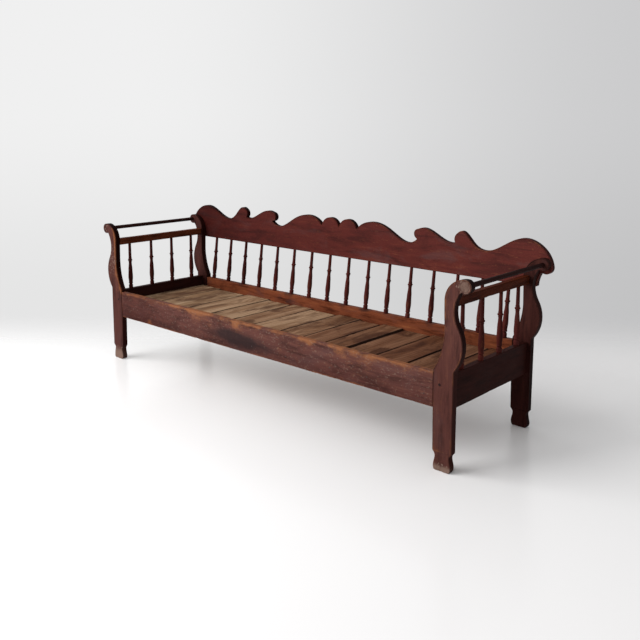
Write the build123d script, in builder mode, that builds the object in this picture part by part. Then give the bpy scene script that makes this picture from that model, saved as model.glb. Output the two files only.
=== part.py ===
from build123d import *
import os

# Pull-out bench bed: four sawn posts, rails between them, a scroll-sawn crest on
# turned spindles, and a seat of loose boards. Every second seat board is nailed to the
# front rail, so the rail pulls out with them and stands on two fold-down legs.
# Millimetres. X runs along the bench, +Y to the back, +Z up, the floor is Z = 0 and the
# origin is the middle of the bounding box's base.

# ---- overall ----
LEG_SPAN = 2200.0  # outer face of the left legs to outer face of the right legs
POST_SPAN = 630.0  # front face of the front posts to rear face of the back posts

# ---- posts: one sawn board each ----
POST_THICK = 31.0
LEG_WIDTH = 86.0
LEG_TAPER = 3.0  # the inner edge leans in below the rails
SCROLL_RADIUS = 26.0
SCROLL_OUT = 38.0  # scroll centre, outside the leg's outer face
SCROLL_HEIGHT = 718.0  # scroll centre above the floor
SCROLL_LIP = 15.6  # lower end of the scroll's curve, inside its centre
NECK_IN = 46.0  # inner edge of the neck, inside the leg's outer face
WAIST_IN = 43.0  # inner edge of the waist, inside the leg's outer face
WAIST_RISE = 165.0  # waist above the rail top
BELLY_OUT = 34.0  # how far the belly bulges past the leg
BELLY_RISE = 105.0  # belly above the rail top
HIP_OUT = 14.0  # where the belly turns into the throat
HIP_RISE = 180.0
NOTCH_RISE = 16.0  # start of the belly above the rail top
COVE_RISE = 10.0  # start of the inner curve above the rail top
FOOT_HEIGHT = 74.0
FOOT_STEP = 6.0  # ledge where the carved foot starts
FOOT_WAIST_IN = 10.0
FOOT_WAIST_HEIGHT = 66.0
FOOT_HIP_IN = 7.0
FOOT_HIP_HEIGHT = 54.0
FOOT_BULB_IN = 1.0
FOOT_BULB_HEIGHT = 24.0
FOOT_TOE_IN = 10.0
FOOT_SIDE_SHARE = 0.5  # depth of the same carving seen from the end

# ---- seat frame ----
RAIL_TOP = 380.0
RAIL_HEIGHT = 138.0
FRONT_RAIL_THICK = 27.0
FRONT_RAIL_SETBACK = 1.5  # behind the posts' front faces
FRONT_RAIL_END_GAP = 1.5
END_RAIL_THICK = 28.0
END_RAIL_INSET = 15.5  # inside the legs' outer faces
BACK_RAIL_THICK = 31.0
BACK_RAIL_DROP = 5.0  # lower than the other rails
TENON_THICK = 12.0
TENON_LENGTH = 18.0
TENON_SHOULDER = 20.0
TENON_END_GAP = 0.3

# ---- arms ----
ARM_RAIL_THICK = 28.0
ARM_RAIL_HEIGHT = 36.0
ARM_RAIL_DROP = 51.0  # top of the arm rail, below the scroll's centre
ARM_TENON_SHOULDER = 7.0
ARM_ROD_DIAMETER = 20.0
DOWEL_CLEARANCE = 0.1  # round pieces in their holes, on the radius
ARM_SPINDLES = 4

# ---- back ----
CREST_THICK = 27.0
CREST_DROP = 102.0  # foot of the crest board, below the scroll's centre
CREST_EAR_OVERHANG = 66.0  # ear tip past the leg's outer face
CREST_END_IN = 1.0  # lower corner, inside the leg's outer face
LOBE_RISE = 197.0  # this and the next: above the crest board's foot
LOBE_FOOT_RISE = 150.0
HUMP_RISE = 197.0
VALLEY_RISE = 118.0
HOOK_ROOT_RISE = 141.0
HOOK_NOSE_RISE = 168.0
HOOK_BROW_RISE = 189.0
HOOK_RISE = 196.0
OUTER_HOOK_RISE = 200.0
SADDLE_RISE = 145.0
OUTER_VALLEY_RISE = 125.0
EAR_RISE = 199.0
EAR_SHOULDER_RISE = 157.0
EAR_TIP_RISE = 84.0
EAR_CURL_RISE = 58.0
EAR_NOTCH_RISE = 64.0

# ---- the crest's pattern from its middle to an ear's tip, as parts of its whole run ----
LOBE_RUN = 2.0
HUMP_CLIMB_RUN = 1.8
HUMP_FALL_RUN = 3.6
VALLEY_RUN = 0.9
HOOK_CROWN_RUN = 0.5
HOOK_FALL_RUN = 2.3
SADDLE_RUN = 0.75
OUTER_CROWN_RUN = 0.45
OUTER_FALL_RUN = 2.2
EAR_CLIMB_RUN = 3.2
EAR_FALL_RUN = 1.6
EAR_TIP_RUN = 0.6
CREST_RUNS = (LOBE_RUN, HUMP_CLIMB_RUN, HUMP_FALL_RUN, VALLEY_RUN, HOOK_CROWN_RUN,
              HOOK_FALL_RUN, SADDLE_RUN, OUTER_CROWN_RUN, OUTER_FALL_RUN, EAR_CLIMB_RUN,
              EAR_FALL_RUN, EAR_TIP_RUN)
INNER_HOOK_OVERHANGS = (0.5, 0.32)  # left and right: the two halves were sawn by eye
OUTER_HOOK_OVERHANGS = (0.16, 0.06)
EAR_DROPS = (10.0, 0.0)  # millimetres by which an ear is lower than its rise
INNER_BROW_IN = 0.4  # brow of a hook, behind its nose
OUTER_BROW_IN = 0.25
EAR_CURL_RUN = 0.79  # the curl under the tip, back to its notch
EAR_CURL_BEND = 0.36
HUMP_CLIMB_BEND = (0.28, 0.6)  # a point on a slope: shares of its run and of its rise
HUMP_FALL_BEND = (0.444, 0.35)
HOOK_FALL_BEND = (0.565, 0.5)
OUTER_FALL_BEND = (0.59, 0.77)
EAR_CLIMB_BEND = (0.53, 0.55)
BACK_SPINDLES = 16
BACK_SPINDLE_END_GAP = 48.0  # post to the first spindle's axis

# ---- turned spindle ----
SPINDLE_BASE_DIAMETER = 21.0
SPINDLE_GROOVE_DIAMETER = 16.0
SPINDLE_BELLY_DIAMETER = 24.0
SPINDLE_THROAT_DIAMETER = 13.0
SPINDLE_BEAD_DIAMETER = 21.0
SPINDLE_TOP_DIAMETER = 12.0
SPINDLE_BASE_HEIGHT = 23.0
SPINDLE_GROOVE_WIDTH = 9.0
SPINDLE_BELLY_HEIGHT = 60.0
SPINDLE_BEAD_HEIGHT = 158.0
SPINDLE_BEAD_WIDTH = 14.0
SPINDLE_FLATS = 12  # narrow flats that stand for the round

# ---- seat boards, left to right: odd ones lie in the frame, even ones pull out ----
SEAT_TOP = 324.0
SLAT_THICK = 18.0
SLAT_WIDTHS = (171, 227, 182, 173, 145, 176, 145, 134, 118, 145, 155, 136, 136)
SLAT_GAPS = (3, 3, 6, 3, 3, 3, 3, 3, 23, 3, 11, 3)
SEAT_END_GAP = 1.5
FIXED_SLAT_BACK_GAP = 4.0
MOVING_SLAT_BACK_GAP = 24.0
GLIDE_GAP = 0.3  # between pieces that slide over each other

# ---- what carries the boards ----
LEDGER_WIDTH = 34.0
LEDGER_HEIGHT = 34.0
STRETCHER_WIDTH = 25.0
STRETCHER_HEIGHT = 62.0
STRETCHER_SETBACK = 6.0  # behind the folded legs
CLEAT_WIDTH = 28.0
CLEAT_HEIGHT = 46.0
BATTEN_WIDTH = 42.0
BATTEN_HEIGHT = 30.0
BATTEN_RELIEF = 0.7  # planed off where a fixed board crosses it
BATTEN_BACK_GAP = 5.0
BATTEN_END_GAP = 1.5
RUNNER_WIDTH = 22.0
RUNNER_HEIGHT = 26.0
CORNER_BLOCK_WIDTH = 24.0
CORNER_BLOCK_DEPTH = 26.0
CORNER_BLOCK_HEIGHT = 110.0

# ---- pegs through the front posts into the corner blocks ----
PEG_DIAMETER = 11.0
PEG_IN = 57.5  # inside the leg's outer face
PEG_DROP = 44.0  # below the rail top
PEG_PROUD = 1.5
PEG_REACH = 14.0  # into the corner block

# ---- fold-down legs ----
FOLD_LEG_WIDTH = 44.0
FOLD_LEG_THICK = 28.0
FOLD_LEG_PIVOT_IN = 54.0  # pivot to the end of the front rail
FOLD_LEG_FLOOR_GAP = 2.0
FOLD_LEG_TOE_TAPER = 7.0
FOLD_LEG_SIDE_GAP = 0.5  # to the cleat and to the pivot's head
PIVOT_DROP = 100.0  # below the rail top
PIVOT_DIAMETER = 16.0
PIVOT_CLEARANCE = 0.1  # on the radius
PIVOT_HEAD_DIAMETER = 26.0
PIVOT_HEAD_THICK = 4.0

# ---- places worked out from the sizes above ----
HALF_SPAN = LEG_SPAN / 2
TOTAL_DEPTH = PEG_PROUD + POST_SPAN + CREST_THICK
FRONT_Y = PEG_PROUD - TOTAL_DEPTH / 2
BACK_Y = FRONT_Y + POST_SPAN
POST_INNER_X = HALF_SPAN - LEG_WIDTH
RAIL_BOTTOM = RAIL_TOP - RAIL_HEIGHT
END_RAIL_INNER_X = HALF_SPAN - END_RAIL_INSET - END_RAIL_THICK
END_RAIL_MID_X = HALF_SPAN - END_RAIL_INSET - END_RAIL_THICK / 2
SIDE_FRONT_Y = FRONT_Y + POST_THICK
SIDE_BACK_Y = BACK_Y - POST_THICK
SIDE_LENGTH = SIDE_BACK_Y - SIDE_FRONT_Y
BACK_RAIL_TOP = RAIL_TOP - BACK_RAIL_DROP
BACK_RAIL_Y = BACK_Y - BACK_RAIL_THICK
ARM_RAIL_TOP = SCROLL_HEIGHT - ARM_RAIL_DROP
ARM_RAIL_BOTTOM = ARM_RAIL_TOP - ARM_RAIL_HEIGHT
CREST_BOTTOM = SCROLL_HEIGHT - CREST_DROP
SCROLL_X = HALF_SPAN + SCROLL_OUT
SLAT_BOTTOM = SEAT_TOP - SLAT_THICK
RAIL_INNER_Y = FRONT_Y + FRONT_RAIL_SETBACK + FRONT_RAIL_THICK
FRONT_RAIL_END_X = POST_INNER_X - FRONT_RAIL_END_GAP
CLEAT_BACK_Y = RAIL_INNER_Y + CLEAT_WIDTH
FOLD_LEG_Y = CLEAT_BACK_Y + FOLD_LEG_SIDE_GAP
PIVOT_HEAD_Y = FOLD_LEG_Y + FOLD_LEG_THICK + FOLD_LEG_SIDE_GAP
STRETCHER_Y = PIVOT_HEAD_Y + PIVOT_HEAD_THICK + STRETCHER_SETBACK
LEDGER_Y = BACK_RAIL_Y - LEDGER_WIDTH
BATTEN_Y = LEDGER_Y - BATTEN_BACK_GAP - BATTEN_WIDTH
MOVING_SLAT_BOTTOM = SLAT_BOTTOM + GLIDE_GAP
PIVOT_X = FRONT_RAIL_END_X - FOLD_LEG_PIVOT_IN
PIVOT_Z = RAIL_TOP - PIVOT_DROP
PEG_X = HALF_SPAN - PEG_IN
PEG_Z = RAIL_TOP - PEG_DROP

os.makedirs("parts", exist_ok=True)

SIDES = (("left", -1), ("right", 1))


def finish(piece, name):
    """Label one finished piece and write its STEP file."""
    piece.part.label = name
    export_step(piece.part, f"parts/{name}.step")


def front_plane(y):
    """Plane facing the front at depth y: local X is X, local Y is Z, extrusion goes back."""
    return Plane(origin=(0, y, 0), x_dir=(1, 0, 0), z_dir=(0, -1, 0))


def board(x_low, x_high, y_low, y_high, z_low, z_high):
    """A plain sawn board between two corners, added to the part being built."""
    middle = ((x_low + x_high) / 2, (y_low + y_high) / 2, (z_low + z_high) / 2)
    with Locations(middle):
        Box(x_high - x_low, y_high - y_low, z_high - z_low)


def cut_board(x_low, x_high, y_low, y_high, z_low, z_high):
    """The same board, taken away from the part being built."""
    middle = ((x_low + x_high) / 2, (y_low + y_high) / 2, (z_low + z_high) / 2)
    with Locations(middle):
        Box(x_high - x_low, y_high - y_low, z_high - z_low, mode=Mode.SUBTRACT)


def foot_edge(edge, inward):
    """Carved side of a foot, added to the outline being drawn: toe, bulb, waist and ledge.

    edge is the leg's straight edge, inward points to the middle of the leg and its length
    scales the depth of the carving.
    """
    hip = (edge + inward * FOOT_HIP_IN, FOOT_HIP_HEIGHT)
    ledge = (edge + inward * FOOT_STEP, FOOT_HEIGHT)
    bulb = (edge + inward * FOOT_BULB_IN, FOOT_BULB_HEIGHT)
    waist = (edge + inward * FOOT_WAIST_IN, FOOT_WAIST_HEIGHT)
    ThreePointArc((edge + inward * FOOT_TOE_IN, 0), bulb, hip)
    ThreePointArc(hip, waist, ledge)
    Line(ledge, (edge, FOOT_HEIGHT))


def post_outline(side):
    """The post's sawn outline, seen from the front: foot, leg, belly, neck and scroll."""

    def at(out, height):
        return (side * (HALF_SPAN + out), height)

    scroll_drop = (SCROLL_RADIUS**2 - SCROLL_LIP**2) ** 0.5
    scroll_lip = at(SCROLL_OUT - SCROLL_LIP, SCROLL_HEIGHT - scroll_drop)
    scroll_top = at(SCROLL_OUT, SCROLL_HEIGHT + SCROLL_RADIUS)
    head_radius = NECK_IN + SCROLL_OUT
    neck_top = SCROLL_HEIGHT + SCROLL_RADIUS - head_radius
    waist = at(-WAIST_IN, RAIL_TOP + WAIST_RISE)
    leg_foot = LEG_TAPER - LEG_WIDTH
    with BuildLine() as outline:
        foot_edge(side * HALF_SPAN, -side)
        Line(at(0, FOOT_HEIGHT), at(0, RAIL_TOP + NOTCH_RISE))
        belly = ThreePointArc(
            at(0, RAIL_TOP + NOTCH_RISE),
            at(BELLY_OUT, RAIL_TOP + BELLY_RISE),
            at(HIP_OUT, RAIL_TOP + HIP_RISE),
        )
        TangentArc(belly @ 1, scroll_lip, tangent=belly % 1)
        ThreePointArc(scroll_lip, at(SCROLL_OUT + SCROLL_RADIUS, SCROLL_HEIGHT), scroll_top)
        TangentArc(scroll_top, at(-NECK_IN, neck_top), tangent=(-side, 0))
        Line(at(-NECK_IN, neck_top), waist)
        TangentArc(waist, at(-LEG_WIDTH, RAIL_TOP + COVE_RISE), tangent=(0, -1))
        Line(at(-LEG_WIDTH, RAIL_TOP + COVE_RISE), at(-LEG_WIDTH, RAIL_BOTTOM))
        Line(at(-LEG_WIDTH, RAIL_BOTTOM), at(leg_foot, FOOT_HEIGHT))
        foot_edge(side * (HALF_SPAN + leg_foot), side)
        Line(at(leg_foot + FOOT_TOE_IN, 0), at(-FOOT_TOE_IN, 0))
    return outline.edges()


def post_side_outline(y_front):
    """The post's outline from the end: a plain board, with the foot carved front and back."""
    y_back = y_front + POST_THICK
    top = SCROLL_HEIGHT + 2 * SCROLL_RADIUS
    with BuildLine() as outline:
        foot_edge(y_front, FOOT_SIDE_SHARE)
        Polyline((y_front, FOOT_HEIGHT), (y_front, top), (y_back, top), (y_back, FOOT_HEIGHT))
        foot_edge(y_back, -FOOT_SIDE_SHARE)
        toe_in = FOOT_SIDE_SHARE * FOOT_TOE_IN
        Line((y_back - toe_in, 0), (y_front + toe_in, 0))
    return outline.edges()


def tenon(low_x, high_x, y_low, y_high, z_low, z_high, shoulder, cut=False):
    """A tenon's block, or its mortise when cut, with the shoulder left above and below."""
    block = cut_board if cut else board
    block(low_x, high_x, y_low, y_high, z_low + shoulder, z_high - shoulder)


# ---- posts ----
for row, y_front in (("front", FRONT_Y), ("back", BACK_Y - POST_THICK)):
    inner_y = y_front + POST_THICK if row == "front" else y_front
    deep_y = inner_y - TENON_LENGTH if row == "front" else inner_y + TENON_LENGTH
    mortise_y = sorted((inner_y, deep_y))
    socket_plane_y = inner_y if row == "back" else deep_y
    for side_name, side in SIDES:
        rail_x = side * END_RAIL_MID_X
        with BuildPart() as post:
            with BuildSketch(front_plane(y_front)):
                make_face(post_outline(side))
            extrude(amount=-POST_THICK)
            with BuildSketch(Plane.YZ):
                make_face(post_side_outline(y_front))
            extrude(amount=LEG_SPAN, both=True, mode=Mode.INTERSECT)
            for low, high, shoulder in (
                (RAIL_BOTTOM, RAIL_TOP, TENON_SHOULDER),
                (ARM_RAIL_BOTTOM, ARM_RAIL_TOP, ARM_TENON_SHOULDER),
            ):
                tenon(rail_x - TENON_THICK / 2, rail_x + TENON_THICK / 2, *mortise_y,
                      low, high, shoulder, cut=True)
            with BuildSketch(front_plane(socket_plane_y)):
                with Locations((side * SCROLL_X, SCROLL_HEIGHT)):
                    Circle(ARM_ROD_DIAMETER / 2 + DOWEL_CLEARANCE)
            extrude(amount=-TENON_LENGTH, mode=Mode.SUBTRACT)
            if row == "front":
                with BuildSketch(front_plane(FRONT_Y)):
                    with Locations((side * PEG_X, PEG_Z)):
                        Circle(PEG_DIAMETER / 2 + DOWEL_CLEARANCE)
                extrude(amount=-POST_THICK, mode=Mode.SUBTRACT)
            else:
                edge_x = sorted((side * POST_INNER_X, side * (POST_INNER_X + TENON_LENGTH)))
                mid_y = BACK_RAIL_Y + BACK_RAIL_THICK / 2
                tenon(*edge_x, mid_y - TENON_THICK / 2, mid_y + TENON_THICK / 2,
                      RAIL_BOTTOM, BACK_RAIL_TOP, TENON_SHOULDER, cut=True)
        finish(post, f"{row}_{side_name}_post")

# ---- end rails, arm rails and arm rods ----
for side_name, side in SIDES:
    rail_x = side * END_RAIL_MID_X
    tenon_y = (SIDE_FRONT_Y - TENON_LENGTH + TENON_END_GAP,
               SIDE_BACK_Y + TENON_LENGTH - TENON_END_GAP)
    for name, thick, low, high, shoulder in (
        ("end_rail", END_RAIL_THICK, RAIL_BOTTOM, RAIL_TOP, TENON_SHOULDER),
        ("arm_rail", ARM_RAIL_THICK, ARM_RAIL_BOTTOM, ARM_RAIL_TOP, ARM_TENON_SHOULDER),
    ):
        with BuildPart() as rail:
            board(rail_x - thick / 2, rail_x + thick / 2, SIDE_FRONT_Y, SIDE_BACK_Y, low, high)
            tenon(rail_x - TENON_THICK / 2, rail_x + TENON_THICK / 2, *tenon_y,
                  low, high, shoulder)
        finish(rail, f"{side_name}_{name}")
    rod_front_y = SIDE_FRONT_Y - TENON_LENGTH + TENON_END_GAP
    with BuildPart() as rod:
        with BuildSketch(front_plane(rod_front_y)):
            with Locations((side * SCROLL_X, SCROLL_HEIGHT)):
                Circle(ARM_ROD_DIAMETER / 2)
        extrude(amount=-(SIDE_LENGTH + 2 * (TENON_LENGTH - TENON_END_GAP)))
    finish(rod, f"{side_name}_arm_rod")

# ---- back rail and front rail ----
tenon_x = POST_INNER_X + TENON_LENGTH - TENON_END_GAP
back_rail_mid_y = BACK_RAIL_Y + BACK_RAIL_THICK / 2
with BuildPart() as back_rail:
    board(-POST_INNER_X, POST_INNER_X, BACK_RAIL_Y, BACK_Y, RAIL_BOTTOM, BACK_RAIL_TOP)
    tenon(-tenon_x, tenon_x, back_rail_mid_y - TENON_THICK / 2,
          back_rail_mid_y + TENON_THICK / 2, RAIL_BOTTOM, BACK_RAIL_TOP, TENON_SHOULDER)
finish(back_rail, "back_rail")

with BuildPart() as front_rail:
    board(-FRONT_RAIL_END_X, FRONT_RAIL_END_X, RAIL_INNER_Y - FRONT_RAIL_THICK, RAIL_INNER_Y,
          RAIL_BOTTOM, RAIL_TOP)
finish(front_rail, "front_rail")


# ---- crest board ----
def crest_half(side, module, inner_overhang, outer_overhang, ear_drop):
    """Half of the crest's outline, from the middle notch out to the end's lower corner.

    Round lobe, long hump, two hooked waves that lean to the middle, and the rolled ear.
    """

    def at(steps, rise):
        return (side * steps * module, CREST_BOTTOM + rise)

    def on_slope(start, end, bend):
        """A point between two points: shares of the way along and of the way up."""
        return tuple(a + share * (b - a) for a, b, share in zip(start, end, bend))

    def hook_nose(root, root_rise, overhang, brow_in):
        """The round nose of a hooked wave, which hangs back over its own root."""
        brow = at(root - overhang + brow_in, HOOK_BROW_RISE)
        ThreePointArc(at(root, root_rise), at(root - overhang, HOOK_NOSE_RISE), brow)
        return brow

    ends = [sum(CREST_RUNS[:count]) for count in range(1, len(CREST_RUNS) + 1)]
    (lobe_end, hump, valley, root, crown, saddle, outer_root, outer_crown, outer_valley,
     ear, shoulder, tip) = ends
    lobe_foot = at(lobe_end, LOBE_FOOT_RISE)
    hump_top = at(hump, HUMP_RISE)
    valley_floor = at(valley, VALLEY_RISE)
    hook_top = at(crown, HOOK_RISE)
    saddle_floor = at(saddle, SADDLE_RISE)
    outer_top = at(outer_crown, OUTER_HOOK_RISE)
    outer_floor = at(outer_valley, OUTER_VALLEY_RISE)
    ear_top = at(ear, EAR_RISE - ear_drop)
    ear_tip = at(tip, EAR_TIP_RISE)
    notch = at(tip - EAR_CURL_RUN, EAR_NOTCH_RISE)
    lower_corner = (side * (HALF_SPAN - CREST_END_IN), CREST_BOTTOM)

    ThreePointArc(at(0, LOBE_FOOT_RISE), at(lobe_end / 2, LOBE_RISE), lobe_foot)
    Spline(
        lobe_foot,
        on_slope(lobe_foot, hump_top, HUMP_CLIMB_BEND),
        hump_top,
        on_slope(hump_top, valley_floor, HUMP_FALL_BEND),
        valley_floor,
        at(root, HOOK_ROOT_RISE),
    )
    brow = hook_nose(root, HOOK_ROOT_RISE, inner_overhang, INNER_BROW_IN)
    Spline(
        brow,
        hook_top,
        on_slope(hook_top, saddle_floor, HOOK_FALL_BEND),
        saddle_floor,
        at(outer_root, SADDLE_RISE),
    )
    brow = hook_nose(outer_root, SADDLE_RISE, outer_overhang, OUTER_BROW_IN)
    Spline(
        brow,
        outer_top,
        on_slope(outer_top, outer_floor, OUTER_FALL_BEND),
        outer_floor,
        on_slope(outer_floor, ear_top, EAR_CLIMB_BEND),
        ear_top,
        at(shoulder, EAR_SHOULDER_RISE - ear_drop),
        ear_tip,
    )
    ThreePointArc(ear_tip, at(tip - EAR_CURL_BEND, EAR_CURL_RISE), notch)
    TangentArc(lower_corner, notch, tangent=(0, 1))
    return lower_corner


crest_module = (HALF_SPAN + CREST_EAR_OVERHANG) / sum(CREST_RUNS)
with BuildPart() as crest_board:
    with BuildSketch(front_plane(BACK_Y)):
        with BuildLine():
            corners = [
                crest_half(side, crest_module, *sawn_by_eye)
                for side, *sawn_by_eye in zip(
                    (-1, 1), INNER_HOOK_OVERHANGS, OUTER_HOOK_OVERHANGS, EAR_DROPS
                )
            ]
            Line(*corners)
        make_face()
    extrude(amount=-CREST_THICK)
finish(crest_board, "crest_board")


# ---- turned spindles ----
def turned_spindle(foot, head, cut_low, cut_high):
    """A turned spindle from foot to head, trimmed level where it meets the rails.

    Base, groove, swelling belly, throat, bead and slim neck. Its side view is cut from
    SPINDLE_FLATS directions round the axis, so that many narrow flats stand for the round.
    """
    axis = Vector(*head) - Vector(*foot)
    spare = SPINDLE_BASE_DIAMETER / 2
    stations = (
        (SPINDLE_BASE_DIAMETER / 2, -spare),
        (SPINDLE_BASE_DIAMETER / 2, SPINDLE_BASE_HEIGHT),
        (SPINDLE_GROOVE_DIAMETER / 2, SPINDLE_BASE_HEIGHT + SPINDLE_GROOVE_WIDTH / 2),
        (SPINDLE_BASE_DIAMETER / 2, SPINDLE_BASE_HEIGHT + SPINDLE_GROOVE_WIDTH),
        (SPINDLE_BELLY_DIAMETER / 2, SPINDLE_BELLY_HEIGHT),
        (SPINDLE_THROAT_DIAMETER / 2, SPINDLE_BEAD_HEIGHT - SPINDLE_BEAD_WIDTH / 2),
        (SPINDLE_BEAD_DIAMETER / 2, SPINDLE_BEAD_HEIGHT),
        (SPINDLE_THROAT_DIAMETER / 2, SPINDLE_BEAD_HEIGHT + SPINDLE_BEAD_WIDTH / 2),
        (SPINDLE_TOP_DIAMETER / 2, axis.length + spare),
    )
    opposite = [(-radius, height) for radius, height in reversed(stations)]
    with BuildPart() as turned:
        for cut in range(SPINDLE_FLATS // 2):
            across = Vector(1, 0, 0).rotate(Axis(foot, axis), cut * 360 / SPINDLE_FLATS)
            with BuildSketch(Plane(origin=foot, x_dir=across, z_dir=across.cross(axis))):
                with BuildLine():
                    Polyline(*stations, *opposite, close=True)
                make_face()
            extrude(amount=SPINDLE_BELLY_DIAMETER, both=True,
                    mode=Mode.INTERSECT if cut else Mode.ADD)
        split(bisect_by=Plane.XY.offset(cut_low), keep=Keep.TOP)
        split(bisect_by=Plane.XY.offset(cut_high), keep=Keep.BOTTOM)
    return turned


back_spindle_pattern = turned_spindle(
    (0, back_rail_mid_y, BACK_RAIL_TOP),
    (0, BACK_Y + CREST_THICK / 2, CREST_BOTTOM),
    BACK_RAIL_TOP,
    CREST_BOTTOM,
)
back_pitch = 2 * (POST_INNER_X - BACK_SPINDLE_END_GAP) / (BACK_SPINDLES - 1)
for number in range(BACK_SPINDLES):
    x = BACK_SPINDLE_END_GAP - POST_INNER_X + number * back_pitch
    with BuildPart() as back_spindle:
        with Locations((x, 0, 0)):
            add(back_spindle_pattern.part)
    finish(back_spindle, f"back_spindle_{number + 1:02d}")

arm_pitch = SIDE_LENGTH / ARM_SPINDLES
arm_spindle_pattern = turned_spindle(
    (0, 0, RAIL_TOP), (0, 0, ARM_RAIL_BOTTOM), RAIL_TOP, ARM_RAIL_BOTTOM
)
for side_name, side in SIDES:
    with BuildPart() as arm_spindles:
        with Locations(*[
            (side * END_RAIL_MID_X, SIDE_FRONT_Y + (number + 0.5) * arm_pitch, 0)
            for number in range(ARM_SPINDLES)
        ]):
            add(arm_spindle_pattern.part)
    finish(arm_spindles, f"{side_name}_arm_spindles")

# ---- seat boards ----
seat_width = 2 * (END_RAIL_INNER_X - SEAT_END_GAP)
width_scale = (seat_width - sum(SLAT_GAPS)) / sum(SLAT_WIDTHS)
slat_spans = []
slat_x = SEAT_END_GAP - END_RAIL_INNER_X
for width, gap in zip(SLAT_WIDTHS, (*SLAT_GAPS, 0)):
    slat_spans.append((slat_x, slat_x + width * width_scale))
    slat_x += width * width_scale + gap

fixed_slat_y = (CLEAT_BACK_Y + SEAT_END_GAP, BACK_RAIL_Y - FIXED_SLAT_BACK_GAP)
moving_slat_y = (RAIL_INNER_Y, BACK_RAIL_Y - MOVING_SLAT_BACK_GAP)
for number, (low_x, high_x) in enumerate(slat_spans, start=1):
    fixed = number % 2 == 1
    bottom = SLAT_BOTTOM if fixed else MOVING_SLAT_BOTTOM
    with BuildPart() as slat:
        board(low_x, high_x, *(fixed_slat_y if fixed else moving_slat_y),
              bottom, bottom + SLAT_THICK)
    finish(slat, f"{'fixed' if fixed else 'moving'}_slat_{number:02d}")

# ---- fixed supports: ledger, front stretcher, runners and corner blocks ----
with BuildPart() as back_ledger:
    board(-END_RAIL_INNER_X, END_RAIL_INNER_X, LEDGER_Y, BACK_RAIL_Y,
          SLAT_BOTTOM - LEDGER_HEIGHT, SLAT_BOTTOM)
finish(back_ledger, "back_ledger")

with BuildPart() as front_stretcher:
    board(-END_RAIL_INNER_X, END_RAIL_INNER_X, STRETCHER_Y, STRETCHER_Y + STRETCHER_WIDTH,
          SLAT_BOTTOM - STRETCHER_HEIGHT, SLAT_BOTTOM)
finish(front_stretcher, "front_stretcher")

runner_top = MOVING_SLAT_BOTTOM - BATTEN_HEIGHT - GLIDE_GAP
for side_name, side in SIDES:
    runner_x = sorted((side * (END_RAIL_INNER_X - RUNNER_WIDTH), side * END_RAIL_INNER_X))
    with BuildPart() as runner:
        board(*runner_x, STRETCHER_Y + STRETCHER_WIDTH, LEDGER_Y,
              runner_top - RUNNER_HEIGHT, runner_top)
    finish(runner, f"{side_name}_runner")

    block_x = sorted((side * (END_RAIL_INNER_X - CORNER_BLOCK_WIDTH), side * END_RAIL_INNER_X))
    with BuildPart() as corner_block:
        board(*block_x, SIDE_FRONT_Y, SIDE_FRONT_Y + CORNER_BLOCK_DEPTH,
              PEG_Z + PEG_DIAMETER - CORNER_BLOCK_HEIGHT, PEG_Z + PEG_DIAMETER)
        with BuildSketch(front_plane(SIDE_FRONT_Y)):
            with Locations((side * PEG_X, PEG_Z)):
                Circle(PEG_DIAMETER / 2 + DOWEL_CLEARANCE)
        extrude(amount=-PEG_REACH, mode=Mode.SUBTRACT)
    finish(corner_block, f"{side_name}_corner_block")

with BuildPart() as post_pegs:
    with BuildSketch(front_plane(FRONT_Y - PEG_PROUD)):
        with Locations((-PEG_X, PEG_Z), (PEG_X, PEG_Z)):
            Circle(PEG_DIAMETER / 2)
    extrude(amount=-(PEG_PROUD + POST_THICK + PEG_REACH))
finish(post_pegs, "post_pegs")

# ---- what slides with the front rail: cleat, rear batten, folding legs ----
with BuildPart() as front_cleat:
    board(-FRONT_RAIL_END_X, FRONT_RAIL_END_X, RAIL_INNER_Y, CLEAT_BACK_Y,
          MOVING_SLAT_BOTTOM - CLEAT_HEIGHT, MOVING_SLAT_BOTTOM)
    with BuildSketch(front_plane(RAIL_INNER_Y)):
        with Locations((-PIVOT_X, PIVOT_Z), (PIVOT_X, PIVOT_Z)):
            Circle(PIVOT_DIAMETER / 2)
    extrude(amount=-CLEAT_WIDTH, mode=Mode.SUBTRACT)
finish(front_cleat, "front_cleat")

batten_end_x = END_RAIL_INNER_X - BATTEN_END_GAP
with BuildPart() as rear_batten:
    board(-batten_end_x, batten_end_x, BATTEN_Y, BATTEN_Y + BATTEN_WIDTH,
          MOVING_SLAT_BOTTOM - BATTEN_HEIGHT, MOVING_SLAT_BOTTOM)
    for low_x, high_x in slat_spans[::2]:
        cut_board(low_x - SEAT_END_GAP, high_x + SEAT_END_GAP, BATTEN_Y,
                  BATTEN_Y + BATTEN_WIDTH, MOVING_SLAT_BOTTOM - BATTEN_RELIEF,
                  MOVING_SLAT_BOTTOM)
finish(rear_batten, "rear_batten")

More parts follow.
